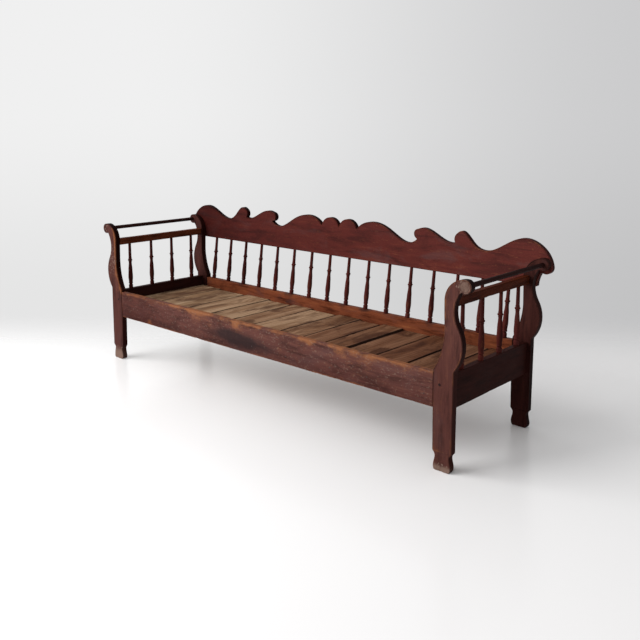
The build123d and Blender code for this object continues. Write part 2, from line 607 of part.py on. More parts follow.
leg_reach = PIVOT_Z - FOLD_LEG_FLOOR_GAP
leg_half = FOLD_LEG_WIDTH / 2
for side_name, side in SIDES:
    inward = -side
    toe_x = side * PIVOT_X + inward * leg_reach
    with BuildPart() as fold_leg:
        with BuildSketch(front_plane(FOLD_LEG_Y)):
            with BuildLine():
                ThreePointArc(
                    (side * PIVOT_X, PIVOT_Z + leg_half),
                    (side * (PIVOT_X + leg_half), PIVOT_Z),
                    (side * PIVOT_X, PIVOT_Z - leg_half),
                )
                Polyline(
                    (side * PIVOT_X, PIVOT_Z - leg_half),
                    (toe_x, PIVOT_Z - leg_half + FOLD_LEG_TOE_TAPER),
                    (toe_x, PIVOT_Z + leg_half - FOLD_LEG_TOE_TAPER),
                    (side * PIVOT_X, PIVOT_Z + leg_half),
                )
            make_face()
            with Locations((side * PIVOT_X, PIVOT_Z)):
                Circle(PIVOT_DIAMETER / 2 + PIVOT_CLEARANCE, mode=Mode.SUBTRACT)
        extrude(amount=-FOLD_LEG_THICK)
    finish(fold_leg, f"{side_name}_fold_leg")

    with BuildPart() as leg_pivot:
        with BuildSketch(front_plane(RAIL_INNER_Y)):
            with Locations((side * PIVOT_X, PIVOT_Z)):
                Circle(PIVOT_DIAMETER / 2)
        extrude(amount=-(PIVOT_HEAD_Y - RAIL_INNER_Y))
        with BuildSketch(front_plane(PIVOT_HEAD_Y)):
            with Locations((side * PIVOT_X, PIVOT_Z)):
                Circle(PIVOT_HEAD_DIAMETER / 2)
        extrude(amount=-PIVOT_HEAD_THICK)
    finish(leg_pivot, f"{side_name}_leg_pivot")
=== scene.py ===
import math
from dataclasses import dataclass, field
from itertools import product

import bpy
import numpy as np
from bpy.props import FloatProperty, FloatVectorProperty, IntProperty, PointerProperty
from mathutils import Matrix, Vector
from mathutils.geometry import delaunay_2d_cdt


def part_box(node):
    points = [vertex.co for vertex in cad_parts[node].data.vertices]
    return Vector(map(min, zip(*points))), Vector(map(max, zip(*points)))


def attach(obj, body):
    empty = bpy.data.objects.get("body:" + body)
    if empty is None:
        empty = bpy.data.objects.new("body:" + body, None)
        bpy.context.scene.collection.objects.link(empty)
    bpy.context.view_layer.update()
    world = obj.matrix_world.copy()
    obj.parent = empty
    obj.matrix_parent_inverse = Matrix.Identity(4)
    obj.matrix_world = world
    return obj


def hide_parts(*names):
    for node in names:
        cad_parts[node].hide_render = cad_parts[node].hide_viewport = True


bl_info = {
    "name": "Pull-out bench bed",
    "version": (1, 0, 0),
    "blender": (4, 5, 0),
    "location": "3D View > Sidebar > Bench bed",
    "description": "Dresses the frame of an old pull-out bench bed in worn, stained pine",
    "category": "Object",
}

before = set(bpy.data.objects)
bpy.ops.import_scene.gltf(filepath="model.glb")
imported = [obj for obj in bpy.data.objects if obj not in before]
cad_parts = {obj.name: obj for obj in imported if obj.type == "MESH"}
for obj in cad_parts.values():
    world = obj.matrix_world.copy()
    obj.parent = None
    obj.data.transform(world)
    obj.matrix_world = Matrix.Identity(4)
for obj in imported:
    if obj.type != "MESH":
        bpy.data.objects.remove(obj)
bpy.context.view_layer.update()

SIDES = ("left", "right")
MM = 0.001  # a millimetre, in the frame's metres


def display_tone(red, green, blue):
    """A colour given as it looks on screen, 0 to 255, as the linear values that a shader takes:
    a power of 2.4, with a straight run near black."""
    share = np.array((red, green, blue)) / 255
    linear = np.where(share > 0.04045, ((share + 0.055) / 1.055) ** 2.4, share / 12.92)
    return tuple(float(value) for value in linear)


# ---- sizes and colours that a user may change ----


class BenchShape(bpy.types.PropertyGroup):
    """Sizes of the worn wood and the nails"""

    edge_radius: FloatProperty(
        name="Edge radius", description="How far the boards' edges are worn round",
        default=2.0 * MM, min=0.5 * MM, max=5 * MM, unit="LENGTH",
    )
    board_cell: FloatProperty(
        name="Board cell", description="Spacing of the points on a board's faces",
        default=13 * MM, min=4 * MM, max=60 * MM, unit="LENGTH",
    )
    outline_step: FloatProperty(
        name="Outline step", description="Spacing of the points along a sawn outline",
        default=2.5 * MM, min=1 * MM, max=10 * MM, unit="LENGTH",
    )
    plane_marks: FloatProperty(
        name="Plane marks", description="Depth of the hand plane's uneven passes",
        default=0.35 * MM, min=0, max=2 * MM, unit="LENGTH",
    )
    nick_depth: FloatProperty(
        name="Nick depth", description="Depth of the dents along the worn edges",
        default=1.6 * MM, min=0, max=4 * MM, unit="LENGTH",
    )
    turned_sides: IntProperty(
        name="Turned sides", description="Points round a turned piece",
        default=36, min=12, max=96, subtype="UNSIGNED",
    )
    nail_radius: FloatProperty(
        name="Nail head radius", description="Radius of the cut nails' heads",
        default=3.2 * MM, min=1 * MM, max=8 * MM, unit="LENGTH",
    )


def colour_property(name, description, *tone):
    """A colour that a user may change, given as it looks on screen."""
    return FloatVectorProperty(
        name=name, description=description, default=display_tone(*tone), min=0, max=1,
        subtype="COLOR",
    )


class BenchFinish(bpy.types.PropertyGroup):
    """Colours of the stained and the bare wood"""

    case_dark: colour_property(
        "Case stain, dark", "Dark streaks on posts and front rail", 54, 32, 29
    )
    case_mid: colour_property(
        "Case stain, middle", "Main tone of posts and front rail", 81, 49, 44
    )
    case_light: colour_property(
        "Case stain, light", "Light streaks on posts and front rail", 100, 63, 52
    )
    crest_dark: colour_property(
        "Crest stain, dark", "Dark streaks of the crest board", 58, 27, 25
    )
    crest_mid: colour_property(
        "Crest stain, middle", "Main tone of the crest board", 80, 35, 31
    )
    crest_light: colour_property(
        "Crest stain, light", "Light streaks of the crest board", 99, 48, 37
    )
    # the inner stain is lighter and warmer: partly wood less faded by the sun, partly painted
    # light from the window on faces turned towards it
    inner_dark: colour_property(
        "Inner stain, dark", "Dark streaks of back rail and arms", 62, 27, 15
    )
    inner_mid: colour_property(
        "Inner stain, middle", "Main tone of back rail and arms", 118, 64, 41
    )
    inner_light: colour_property(
        "Inner stain, light", "Light streaks of back rail and arms", 150, 92, 56
    )
    board_dark: colour_property(
        "Seat board, dark", "Late wood and stains of the seat boards", 74, 48, 34
    )
    board_mid: colour_property(
        "Seat board, middle", "Main tone of the seat boards", 117, 85, 61
    )
    board_light: colour_property(
        "Seat board, light", "Pale early wood of the seat boards", 152, 122, 96
    )
    haze: colour_property("Haze", "Greyed varnish in large patches", 80, 58, 57)
    # the worn colour also carries painted highlights on the crest's humps and along the left
    # post's inner edge
    worn: colour_property("Worn stain", "Wood where hands have rubbed the stain thin", 127, 80, 52)
    bare: colour_property("Bare wood", "Grey-brown wood where the stain is gone", 126, 106, 94)
    # dirt, and the painted shade in the gaps between the seat boards
    soil: colour_property("Soil", "Dark smudges and dirt in the corners", 36, 28, 29)
    iron: colour_property("Iron", "Dark metal of the old nails", 40, 34, 33)
    rust: colour_property("Rust", "Rusty patches on the nails", 92, 52, 34)


class BenchStage(bpy.types.PropertyGroup):
    """Camera, light and backdrop"""

    camera_place: FloatVectorProperty(
        name="Camera place", description="Where the camera stands",
        default=(2.5788, -2.6834, 1.2975), subtype="TRANSLATION", unit="LENGTH",
    )
    camera_turn: FloatProperty(
        name="Camera turn", description="Turn of the camera to the left of straight ahead",
        default=math.radians(41.922), subtype="ANGLE",
    )
    camera_dip: FloatProperty(
        name="Camera dip", description="How far the camera looks down",
        default=math.radians(8.446), subtype="ANGLE",
    )
    camera_roll: FloatProperty(
        name="Camera roll", description="Roll of the camera about its own axis",
        default=math.radians(0.167), subtype="ANGLE",
    )
    camera_lens: FloatProperty(
        name="Camera lens", description="Focal length over the sensor's width",
        default=43.89, min=10, max=200, unit="CAMERA",
    )
    camera_rise: FloatProperty(
        name="Camera rise", description="Vertical shift of the lens, in shares of the width",
        default=-0.1282, min=-1, max=1, subtype="FACTOR",
    )
    camera_slide: FloatProperty(
        name="Camera slide", description="Sideways shift of the lens, in shares of the width",
        default=-0.0055, min=-1, max=1, subtype="FACTOR",
    )
    window_place: FloatVectorProperty(
        name="Window place", description="Middle of the large soft light at the front left",
        default=(-3.3, -4.1, 3.1), subtype="TRANSLATION", unit="LENGTH",
    )
    window_width: FloatProperty(
        name="Window width", description="Width of the soft light",
        default=5.0, min=0.1, max=20, unit="LENGTH",
    )
    window_height: FloatProperty(
        name="Window height", description="Height of the soft light",
        default=4.0, min=0.1, max=20, unit="LENGTH",
    )
    window_power: FloatProperty(
        name="Window light", description="Power of the soft light",
        default=460, min=0, max=3000, unit="POWER",
    )
    room_light: FloatProperty(
        name="Room light", description="Strength of the light from the room all round",
        default=0.62, min=0, max=3, subtype="FACTOR",
    )
    wall_left: colour_property("Wall, left", "Backdrop towards the window", 240, 240, 240)
    wall_right: colour_property("Wall, right", "Backdrop away from the window", 203, 203, 204)
    ground_left: colour_property(
        "Ground, left", "Backdrop below, towards the window", 255, 255, 255
    )
    ground_right: colour_property(
        "Ground, right", "Backdrop below, away from the window", 238, 236, 237
    )
    floor: colour_property("Floor", "Colour of the painted floor", 240, 239, 239)


# ---- surfaces worked out as whole arrays ----

EDGE_TURNS = 4  # points round half of a board's worn edge
NEAR_STOPS = np.array((2, 5, 9)) * MM  # more points close to the edge, for its nicks
WEAR_REACH = 7 * MM  # how far wear creeps over a face from its edge
CUT_WEAR_REACH = 6 * MM  # the same across a sawn edge
PLANED_REACH = 8 * MM  # how far in from a sawn outline the plane marks set in
LONG_RUN = 80 * MM  # a stretch of an outline that is longer than this is straight
FACE_TOLERANCE = 0.02 * MM  # how flat a node's flat face is
RIM_ROWS = (2.5 * MM, 6 * MM)  # rows of points that follow an outline inside it
ROW_PITCH = 0.87  # rows of a staggered grid, in shares of its spacing
CURVE_STEPS = 6  # rings between two stations of a turned piece


@dataclass
class Skin:
    """A closed surface: its points, its faces as arrays of point numbers, how near each
    point is to a worn edge (1 at the edge, 0 away from it), and its flat end faces."""

    points: np.ndarray
    faces: list
    near: np.ndarray
    caps: list = field(default_factory=list)


def waves(points, per_metre, seed, count=7):
    """Smooth unevenness, mostly between -1 and 1: a sum of plane waves whose directions,
    pitches and phases come from one seeded draw."""
    draw = np.random.default_rng(seed)
    direction = draw.normal(size=(count, points.shape[1]))
    direction /= np.linalg.norm(direction, axis=1, keepdims=True)
    pitch = 2 * np.pi * per_metre * draw.uniform(0.5, 1.5, (count, 1))
    phase = draw.uniform(0, 2 * np.pi, count)
    return np.sin(points @ (direction * pitch).T + phase).sum(1) / math.sqrt(count)


def grid_quads(rows, columns, closed=False):
    """Quads between the points of a grid; closed joins the last row to the first."""
    ids = np.arange(rows * columns).reshape(rows, columns)
    if closed:
        ids = np.concatenate([ids, ids[:1]])
    quads = np.stack([ids[:-1, :-1], ids[1:, :-1], ids[1:, 1:], ids[:-1, 1:]], -1)
    return quads.reshape(-1, 4)


def stops(length, radius, cell):
    """Positions along a board's side: even turns of the rounded edge, a few stops close
    to it, then even cells, and the same mirrored."""
    turn = radius * (1 - np.tan(np.linspace(np.pi / 4, 0, EDGE_TURNS)))
    close = radius + NEAR_STOPS
    edge = np.concatenate([turn, close[close < 0.45 * length]])
    inner = length - 2 * edge[-1]
    middle = np.linspace(edge[-1], length - edge[-1], max(2, round(inner / cell) + 1))[1:-1]
    return np.concatenate([edge, middle, (length - edge)[::-1]])


def box_skin(low, high, radius, cell):
    """A box's skin as six grids, one for each face, with the points on the seams merged."""
    lines = [a + stops(b - a, radius, cell) for a, b in zip(low, high)]
    points, quads, start = [], [], 0
    for axis in range(3):
        u, v = (axis + 1) % 3, (axis + 2) % 3
        for level, order in ((low[axis], slice(None, None, -1)), (high[axis], slice(None))):
            grid = np.empty((len(lines[u]), len(lines[v]), 3))
            grid[..., u] = lines[u][:, None]
            grid[..., v] = lines[v][None, :]
            grid[..., axis] = level
            quads.append(start + grid_quads(*grid.shape[:2])[:, order])
            points.append(grid.reshape(-1, 3))
            start += points[-1].shape[0]
    merged, index = np.unique(np.round(np.concatenate(points), 7), axis=0, return_inverse=True)
    return merged, index.reshape(-1)[np.concatenate(quads)]


def round_over(points, low, high, radius):
    """Rounds a box's skin: each point is set at the radius from the inner core that is
    the box less the radius all round. Returns the points and their outward directions."""
    core = np.clip(points, low + radius, high - radius)
    out = points - core
    out /= np.maximum(np.linalg.norm(out, axis=1, keepdims=True), 1e-9)
    return core + out * radius, out


def worn_board(low, high, seed, radius=None, cell=None, nicks=1.0):
    """A hand-planed board between two corners: a rounded box whose edge radius swells and
    shrinks slowly, with shallow plane marks and nicks along the edges, all cut inwards. The
    nearness to an edge falls off as a bell curve of the second smallest gap to the sides."""
    shape = bpy.context.scene.bench_shape
    low, high = np.array(low, float), np.array(high, float)
    radius = min(radius or shape.edge_radius, 0.3 * (high - low).min())
    skin, quads = box_skin(low, high, radius, cell or shape.board_cell)
    gaps = np.sort(np.minimum(skin - low, high - skin), axis=1)
    near = np.exp(-((gaps[:, 1] / WEAR_REACH) ** 2))
    swell = 1 + 0.35 * waves(skin, 6, seed)[:, None]
    points, out = round_over(skin, low, high, radius * np.clip(swell, 0.4, 1.6))
    dents = np.clip(waves(skin, 22, seed + 1) - 0.9, 0, 1) * near * shape.nick_depth * nicks
    marks = (0.5 + 0.5 * np.clip(waves(skin, 5, seed + 2), -1, 1)) * shape.plane_marks
    points -= out * (dents + marks)[:, None]
    return Skin(points, [quads], near)


def points_of(node):
    """A CAD node's points, read from its mesh."""
    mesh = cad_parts[node].data
    place = np.empty(len(mesh.vertices) * 3, np.float32)
    mesh.vertices.foreach_get("co", place)
    return place.reshape(-1, 3)


def face_outline(node, depth):
    """The outer edge of a node's flat face at a depth, as x and z: the edges that only one
    triangle of the face has, followed from the outermost point by doubling jumps."""
    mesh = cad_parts[node].data
    mesh.calc_loop_triangles()
    corners = np.empty(len(mesh.loop_triangles) * 3, np.int32)
    mesh.loop_triangles.foreach_get("vertices", corners)
    points, index = np.unique(np.round(points_of(node), 6), axis=0, return_inverse=True)
    triangles = index.reshape(-1)[corners].reshape(-1, 3)
    off_face = np.abs(points[triangles][..., 1] - depth)
    triangles = triangles[np.all(off_face < FACE_TOLERANCE, axis=1)]
    if not len(triangles):
        raise LookupError(f"{node} has no flat face at {depth:.4f} m")
    edges = np.concatenate([triangles[:, [0, 1]], triangles[:, [1, 2]], triangles[:, [2, 0]]])
    forward = edges[:, 0] * len(points) + edges[:, 1]
    backward = edges[:, 1] * len(points) + edges[:, 0]
    rim = edges[~np.isin(forward, backward)]
    jump = np.arange(len(points))
    jump[rim[:, 0]] = rim[:, 1]
    start = rim[np.argmax(np.abs(points[rim[:, 0], 0])), 0]
    chain = np.array([start])
    while start not in chain[1:]:
        if len(chain) > 2 * len(points):
            raise ValueError(f"the outline of {node} isn't closed")
        chain = np.concatenate([chain, jump[chain]])
        jump = jump[jump]
    chain = chain[: 1 + int(np.argmax(chain[1:] == start))]
    return points[chain][:, [0, 2]].astype(float)


def smooth_outline(corners, step, sharp_turn=25):
    """An outline with even points: cubic arcs through the corner points, straight where two
    are far apart, sharp where it turns by more degrees than given, then rubbed round by
    taking the mean of each point and its neighbours three times."""
    ahead = np.roll(corners, -1, axis=0) - corners
    length = np.linalg.norm(ahead, axis=1)
    unit = ahead / length[:, None]
    before, back_length = np.roll(unit, 1, axis=0), np.roll(length, 1)
    sharp = (unit * before).sum(1) < math.cos(math.radians(sharp_turn))
    straight, back_straight = length > LONG_RUN, back_length > LONG_RUN
    # the direction through each corner leans to the shorter of its two sides
    blend = before * length[:, None] + unit * back_length[:, None]
    blend /= np.linalg.norm(blend, axis=1, keepdims=True)
    # a straight side keeps its own direction, and so does the curve that runs into it
    leave = np.where(back_straight[:, None], before, blend)
    leave = np.where((sharp | straight)[:, None], unit, leave)
    arrive = np.where(straight[:, None], unit, blend)
    arrive = np.where((sharp | back_straight)[:, None], before, arrive)
    arrive = np.roll(arrive, -1, axis=0)
    # even steps along each side, then a cubic from its two ends and their directions
    counts = np.maximum(1, np.round(length / step)).astype(int)
    which = np.repeat(np.arange(len(corners)), counts)
    first = np.repeat(np.cumsum(counts) - counts, counts)
    t = ((np.arange(counts.sum()) - first) / counts[which])[:, None]
    a, b, span = corners[which], np.roll(corners, -1, axis=0)[which], length[which][:, None]
    line = (
        (2 * t**3 - 3 * t**2 + 1) * a + (3 * t**2 - 2 * t**3) * b
        + (t**3 - 2 * t**2 + t) * span * leave[which] + (t**3 - t**2) * span * arrive[which]
    )
    for _ in range(3):
        line = 0.5 * line + 0.25 * (np.roll(line, 1, axis=0) + np.roll(line, -1, axis=0))
    turning = line[:, 0] * np.roll(line[:, 1], -1) - np.roll(line[:, 0], -1) * line[:, 1]
    return line if turning.sum() > 0 else line[::-1]


def reach_inside(points, ring):
    """How far points of a plane lie inside a closed ring, less than zero outside it: the
    distance to the ring's points, signed by how many ring edges lie to the right."""
    ahead = np.roll(ring, -1, axis=0)
    run = ahead - ring
    rise = np.where(np.abs(run[:, 1]) < 1e-12, 1e-12, run[:, 1])
    reach = []
    for part in np.array_split(points, 1 + len(points) * len(ring) // 2_000_000):
        x, z = part[:, :1], part[:, 1:]
        crossed = (ring[:, 1] > z) != (ahead[:, 1] > z)
        crossed &= x < (z - ring[:, 1]) * run[:, 0] / rise + ring[:, 0]
        near = np.sqrt(((x - ring[:, 0]) ** 2 + (z - ring[:, 1]) ** 2).min(1))
        reach.append(np.where(crossed.sum(1) % 2 == 1, near, -near))
    return np.concatenate(reach)


def filled_ring(ring, normal, spacing, more=()):
    """Fills a ring with points and triangles: two rows that follow it, thinned out where
    they would cross, an even staggered grid, and more rows of points where asked for."""
    low, high = ring.min(0), ring.max(0)
    columns = np.arange(low[0] + spacing / 2, high[0], spacing)
    rows = np.arange(low[1] + spacing / 2, high[1], spacing * ROW_PITCH)
    grid = np.stack(np.meshgrid(columns, rows), -1)
    grid[1::2, :, 0] += spacing / 2
    grid = grid.reshape(-1, 2)
    inner = [grid[reach_inside(grid, ring) > RIM_ROWS[-1] + spacing / 2]]
    for offset in RIM_ROWS:
        row = ring - normal * offset
        inner.append(row[reach_inside(row, ring) > 0.9 * offset])
    inner = np.concatenate(inner)
    for centre, reach, places in more:
        inner = inner[np.hypot(*(inner - centre).T) > reach]
        inner = np.concatenate([inner, places[reach_inside(places, ring) > 2 * MM]])
    # triangles over all the points, of which only those inside the ring are kept
    points = np.concatenate([ring, inner])
    number = np.arange(len(ring))
    rim = np.stack([number, np.roll(number, -1)], 1)
    found = delaunay_2d_cdt([Vector(p) for p in points], rim.tolist(), [], 0, 1e-9, True)
    first = np.array([sources[0] for sources in found[3]])
    triangles = first[np.array(found[2])]
    on_rim = np.all(triangles < len(ring), axis=1)
    keep = ~on_rim
    keep[on_rim] = reach_inside(points[triangles[on_rim]].mean(1), ring) > 0
    triangles = triangles[keep]
    # every triangle runs the same way round
    a, b, c = points[triangles].transpose(1, 0, 2)
    ab, ac = b - a, c - a
    turned = ab[:, 0] * ac[:, 1] < ab[:, 1] * ac[:, 0]
    return inner, np.where(turned[:, None], triangles[:, ::-1], triangles)


def sawn_board(outline, front, back, seed, radius=None, spacing=7 * MM, carving=None):
    """A board sawn to an outline: a section with both its corners rounded is carried round
    the outline, its inset taken along the outline's own normals. The two faces are height
    fields over the outline's inside: plane marks, and the carving's depth in the front."""
    shape = bpy.context.scene.bench_shape
    radius = radius or shape.edge_radius
    tangent = np.roll(outline, -1, axis=0) - np.roll(outline, 1, axis=0)
    tangent /= np.linalg.norm(tangent, axis=1, keepdims=True)
    normal = np.stack([tangent[:, 1], -tangent[:, 0]], 1)
    # the section: a quarter round at the front, a straight cut, a quarter round at the back
    turn = np.linspace(0, np.pi / 2, 5)
    inset = np.concatenate([1 - np.sin(turn), np.zeros(4), 1 - np.sin(turn[::-1])])
    depth = np.concatenate([
        front + radius * (1 - np.cos(turn)),
        np.linspace(front + radius, back - radius, 6)[1:-1],
        back - radius * (1 - np.cos(turn[::-1])),
    ])
    local = radius * np.clip(1 + 0.3 * waves(outline, 9, seed), 0.5, 1.5)
    dents = np.clip(waves(outline, 30, seed + 1) - 1.1, 0, 1) * 0.5 * shape.nick_depth
    inward = inset[None, :] * local[:, None] + dents[:, None] * (inset[None, :] > 0)
    # the sawn edge: the section carried round the outline
    grid = np.empty((len(outline), len(depth), 3))
    grid[..., [0, 2]] = outline[:, None, :] - normal[:, None, :] * inward[..., None]
    grid[..., 1] = depth[None, :]
    rows, columns = grid.shape[:2]
    faces = [grid_quads(rows, columns, closed=True)]
    # the two faces: the same filled ring at the front and, turned over, at the back
    ring = grid[:, 0][:, [0, 2]]
    inner, triangles = filled_ring(ring, normal, spacing, carving[1] if carving else ())
    reach = reach_inside(inner, ring)
    fade = 1 - np.exp(-((reach / PLANED_REACH) ** 2))
    points = [grid.reshape(-1, 3)]
    for side, (level, out) in enumerate(((front, -1), (back, 1))):
        marks = 0.5 + 0.5 * np.clip(waves(inner, 6, seed + 2 + side), -1, 1)
        hollow = fade * marks * shape.plane_marks
        if carving and side == 0:
            hollow += carving[0](inner)
        face = np.empty((len(inner), 3))
        face[:, [0, 2]] = inner
        face[:, 1] = level - out * hollow
        start = rows * columns + side * len(inner)
        ids = np.concatenate([
            np.arange(rows) * columns + side * (columns - 1), start + np.arange(len(inner))
        ])
        faces.append(ids[triangles if side == 0 else triangles[:, ::-1]])
        points.append(face)
    across = np.minimum(depth - front, back - depth)
    near = np.tile(np.exp(-((across / CUT_WEAR_REACH) ** 2)), (rows, 1)).reshape(-1)
    near_face = np.exp(-(((reach + radius) / WEAR_REACH) ** 2))
    return Skin(np.concatenate(points), faces, np.concatenate([near, near_face, near_face]))


def turned_piece(foot, head, heights, radii, across=((1, 0, 0), (0, 1, 0))):
    """A turned piece: rings of the profile's radius carried from foot to head. The profile
    runs between its stations in half cosine waves, so that it lies level at each of them."""
    sides = bpy.context.scene.bench_shape.turned_sides
    foot, head = np.array(foot, float), np.array(head, float)
    share = np.array(heights, float) / heights[-1]
    radii = np.array(radii, float)
    runs = len(share) - 1
    t = np.tile(np.linspace(0, 1, CURVE_STEPS + 1)[:-1], runs)
    which = np.repeat(np.arange(runs), CURVE_STEPS)
    place = np.append(share[which] + t * (share[which + 1] - share[which]), 1.0)
    ease = (1 - np.cos(np.pi * t)) / 2
    radius = np.append(radii[which] + ease * (radii[which + 1] - radii[which]), radii[-1])
    angle = np.arange(sides)[:, None] * 2 * np.pi / sides
    ring = np.cos(angle) * np.array(across[0]) + np.sin(angle) * np.array(across[1])
    axis = foot + place[:, None] * (head - foot)
    grid = axis[None, :, :] + ring[:, None, :] * radius[None, :, None]
    rows, columns = grid.shape[:2]
    ends = np.arange(rows)[None, :] * columns
    bulge = np.clip((radius - radius.min()) / max(radius.max() - radius.min(), 1e-9), 0, 1)
    return Skin(
        grid.reshape(-1, 3), [grid_quads(rows, columns, closed=True)], np.tile(bulge**3, rows),
        caps=[ends[:, ::-1], ends + columns - 1],
    )


def turned_along_y(x, z, ends, heights, radii):
    """A turned piece that lies along y at an x and z, from one end to the other."""
    across = ((0, 0, 1), (1, 0, 0))
    return turned_piece((x, ends[0], z), (x, ends[1], z), heights, radii, across)


def joined(skins):
    """Several closed skins as one: each skin's point numbers start where the last one's end."""
    starts = np.cumsum([0] + [len(skin.points) for skin in skins[:-1]])
    return Skin(
        np.concatenate([skin.points for skin in skins]),
        [start + block for start, skin in zip(starts, skins) for block in skin.faces],
        np.concatenate([skin.near for skin in skins]),
        caps=[start + block for start, skin in zip(starts, skins) for block in skin.caps],
    )


# ---- pieces ----

GRAIN_AXES = {"x": (0, 2, 1), "y": (1, 0, 2), "z": (2, 0, 1)}  # along, across and through
MARKS = ("worn", "bare", "soil", "tone")

# Every piece is given a seed of its own, so that no two boards have the same grain or wear.


def give(mesh, name, kind, values):
    """Stores one value for each point of a mesh under a name that a material can read."""
    attribute = mesh.attributes.new(name, kind, "POINT")
    slot = "vector" if kind == "FLOAT_VECTOR" else "value"
    attribute.data.foreach_set(slot, np.ascontiguousarray(values, np.float32).reshape(-1))


def make_piece(name, skin, finish, grain, body, nodes, slot, seed, **marks):
    """Puts a skin into a mesh with its grain coordinates (along, across and through the
    board, in metres, with a start of its own) and its marks, and sets it on its body."""
    if not np.isfinite(skin.points).all():
        raise ValueError(f"{name} has points at no place")
    faces = [face for block in (*skin.faces, *skin.caps) for face in block.tolist()]
    mesh = bpy.data.meshes.new(name)
    mesh.from_pydata(skin.points, [], faces)
    smooth = np.ones(len(faces), bool)
    smooth[len(faces) - sum(len(block) for block in skin.caps):] = False
    mesh.polygons.foreach_set("use_smooth", smooth)
    draw = np.random.default_rng(seed)
    middle = (skin.points.min(0) + skin.points.max(0)) / 2
    local = (skin.points - middle)[:, GRAIN_AXES[grain]]
    local += (draw.uniform(-40, 40), draw.uniform(-0.04, 0.04), draw.uniform(0.01, 0.05))
    give(mesh, "grain", "FLOAT_VECTOR", local)
    for mark in MARKS:
        give(mesh, mark, "FLOAT", np.zeros(len(skin.points)) + marks.get(mark, 0.0))
    mesh.materials.append(material(finish))
    piece = bpy.data.objects.new(name, mesh)
    bpy.context.scene.collection.objects.link(piece)
    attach(piece, body)
    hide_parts(*nodes)
    return piece


def span_of(node):
    """Lowest and highest corner of a CAD node as arrays."""
    low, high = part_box(node)
    return np.array(low), np.array(high)


def nodes_with(word):
    """The names of the CAD nodes that hold a word, in order; there has to be one."""
    found = sorted(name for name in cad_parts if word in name)
    if not found:
        raise LookupError(f"no node of the frame is called {word}")
    return found


def between_posts(side):
    """Where the two posts of a side face each other, along y."""
    return span_of(f"front_{side}_post")[1][1], span_of(f"back_{side}_post")[0][1]


def bump_of(points, axis, centre, width):
    """A smooth hill, 1 at the centre and fading over the width, along one axis."""
    return np.exp(-(((points[:, axis] - centre) / width) ** 2))


def spots(points, places, width, height):
    """The sum of smooth hills on a face that looks along y, each with an x, a z and a
    strength: a hill in x times a hill in z."""
    return sum(
        strength * bump_of(points, 0, x, width) * bump_of(points, 2, z, height)
        for x, z, strength in places
    )


def ramp(values, start, end):
    """A straight ramp over values: 0 at the start, 1 at the end and level beyond both."""
    return np.clip((values - start) / (end - start), 0, 1)


# ---- materials ----


class Recipe:
    """Builds the nodes of a material or world: each method adds a node and gives its output."""

    def __init__(self, owner):
        owner.use_nodes = True
        self.owner = owner
        self.tree = owner.node_tree
        self.tree.nodes.clear()

    def add(self, kind, sockets, out=0, **settings):
        """Any node: its sockets are linked to an output or set to a value."""
        made = self.tree.nodes.new("ShaderNode" + kind)
        for key, value in settings.items():
            setattr(made, key, value)
        for key, value in sockets.items():
            if isinstance(value, bpy.types.NodeSocket):
                self.tree.links.new(value, made.inputs[key])
            else:
                made.inputs[key].default_value = value
        return made.outputs[out] if len(made.outputs) else made

    def grain(self):
        """The grain coordinates that make_piece stores."""
        return self.add("Attribute", {}, out="Vector", attribute_name="grain")

    def mark(self, name):
        """One of the marks that make_piece stores."""
        return self.add("Attribute", {}, out="Fac", attribute_name=name)

    def stretch(self, vector, along, across):
        """Coordinates scaled by one number along the grain and another one across it."""
        return self.add("Mapping", {"Vector": vector, "Scale": (along, across, across)})

    def noise(self, vector, scale=1.0, detail=4.0, roughness=0.55, distortion=0.0):
        """Fractal noise between 0 and 1."""
        sockets = {"Vector": vector, "Scale": scale, "Detail": detail,
                   "Roughness": roughness, "Distortion": distortion}
        return self.add("TexNoise", sockets)

    def span(self, value, low, high, to_low=0.0, to_high=1.0):
        """A value eased from one range to another, and level beyond the range."""
        sockets = {0: value, 1: low, 2: high, 3: to_low, 4: to_high}
        return self.add("MapRange", sockets, interpolation_type="SMOOTHSTEP")

    def math(self, operation, a, b):
        """Two values put together by an operation."""
        return self.add("Math", {0: a, 1: b}, operation=operation)

    def plus(self, a, b):
        """The sum of two values."""
        return self.math("ADD", a, b)

    def times(self, a, b):
        """The product of two values."""
        return self.math("MULTIPLY", a, b)

    def swing(self, value, reach):
        """A value between 0 and 1 as a swing about zero: less a half, times the reach."""
        return self.times(self.math("SUBTRACT", value, 0.5), reach)

    def mix(self, factor, a, b, blend="MIX"):
        """Two colours mixed by a factor."""
        sockets = {0: factor}
        for key, value in ((6, a), (7, b)):
            sockets[key] = (*value, 1.0) if isinstance(value, tuple) else value
        return self.add("Mix", sockets, out=2, data_type="RGBA", blend_type=blend)

    def shaded(self, colour, green_power, blue_power):
        """A colour made lighter or darker by the tone mark, which holds both a piece's own tone
        and painted shade: each channel is multiplied by one plus the tone, raised to a power above
        1 for green and blue, so that darker faces are redder too."""
        shade = self.plus(1.0, self.mark("tone"))
        tint = {0: shade}
        tint[1] = self.math("POWER", shade, green_power)
        tint[2] = self.math("POWER", shade, blue_power)
        return self.mix(1.0, colour, self.add("CombineColor", tint), "MULTIPLY")

    def finish(self, colour, roughness, height, depth, gloss=0.5, metal=0.0):
        """Ends a material: a principled shader with a bump of that depth in metres."""
        bump = self.add("Bump", {"Height": height, "Distance": depth, "Strength": 1.0})
        shader = self.add("BsdfPrincipled", {
            "Base Color": colour, "Roughness": roughness, "Normal": bump,
            "Specular IOR Level": gloss, "Metallic": metal,
        })
        self.add("OutputMaterial", {"Surface": shader})
        return self.owner


def colours(*names):
    """The finish's colours by name, as tuples."""
    finish = bpy.context.scene.bench_finish
    return [tuple(getattr(finish, name)) for name in names]


def tones(wood):
    """The dark, middle and light tone of one kind of wood."""
    return colours(f"{wood}_dark", f"{wood}_mid", f"{wood}_light")


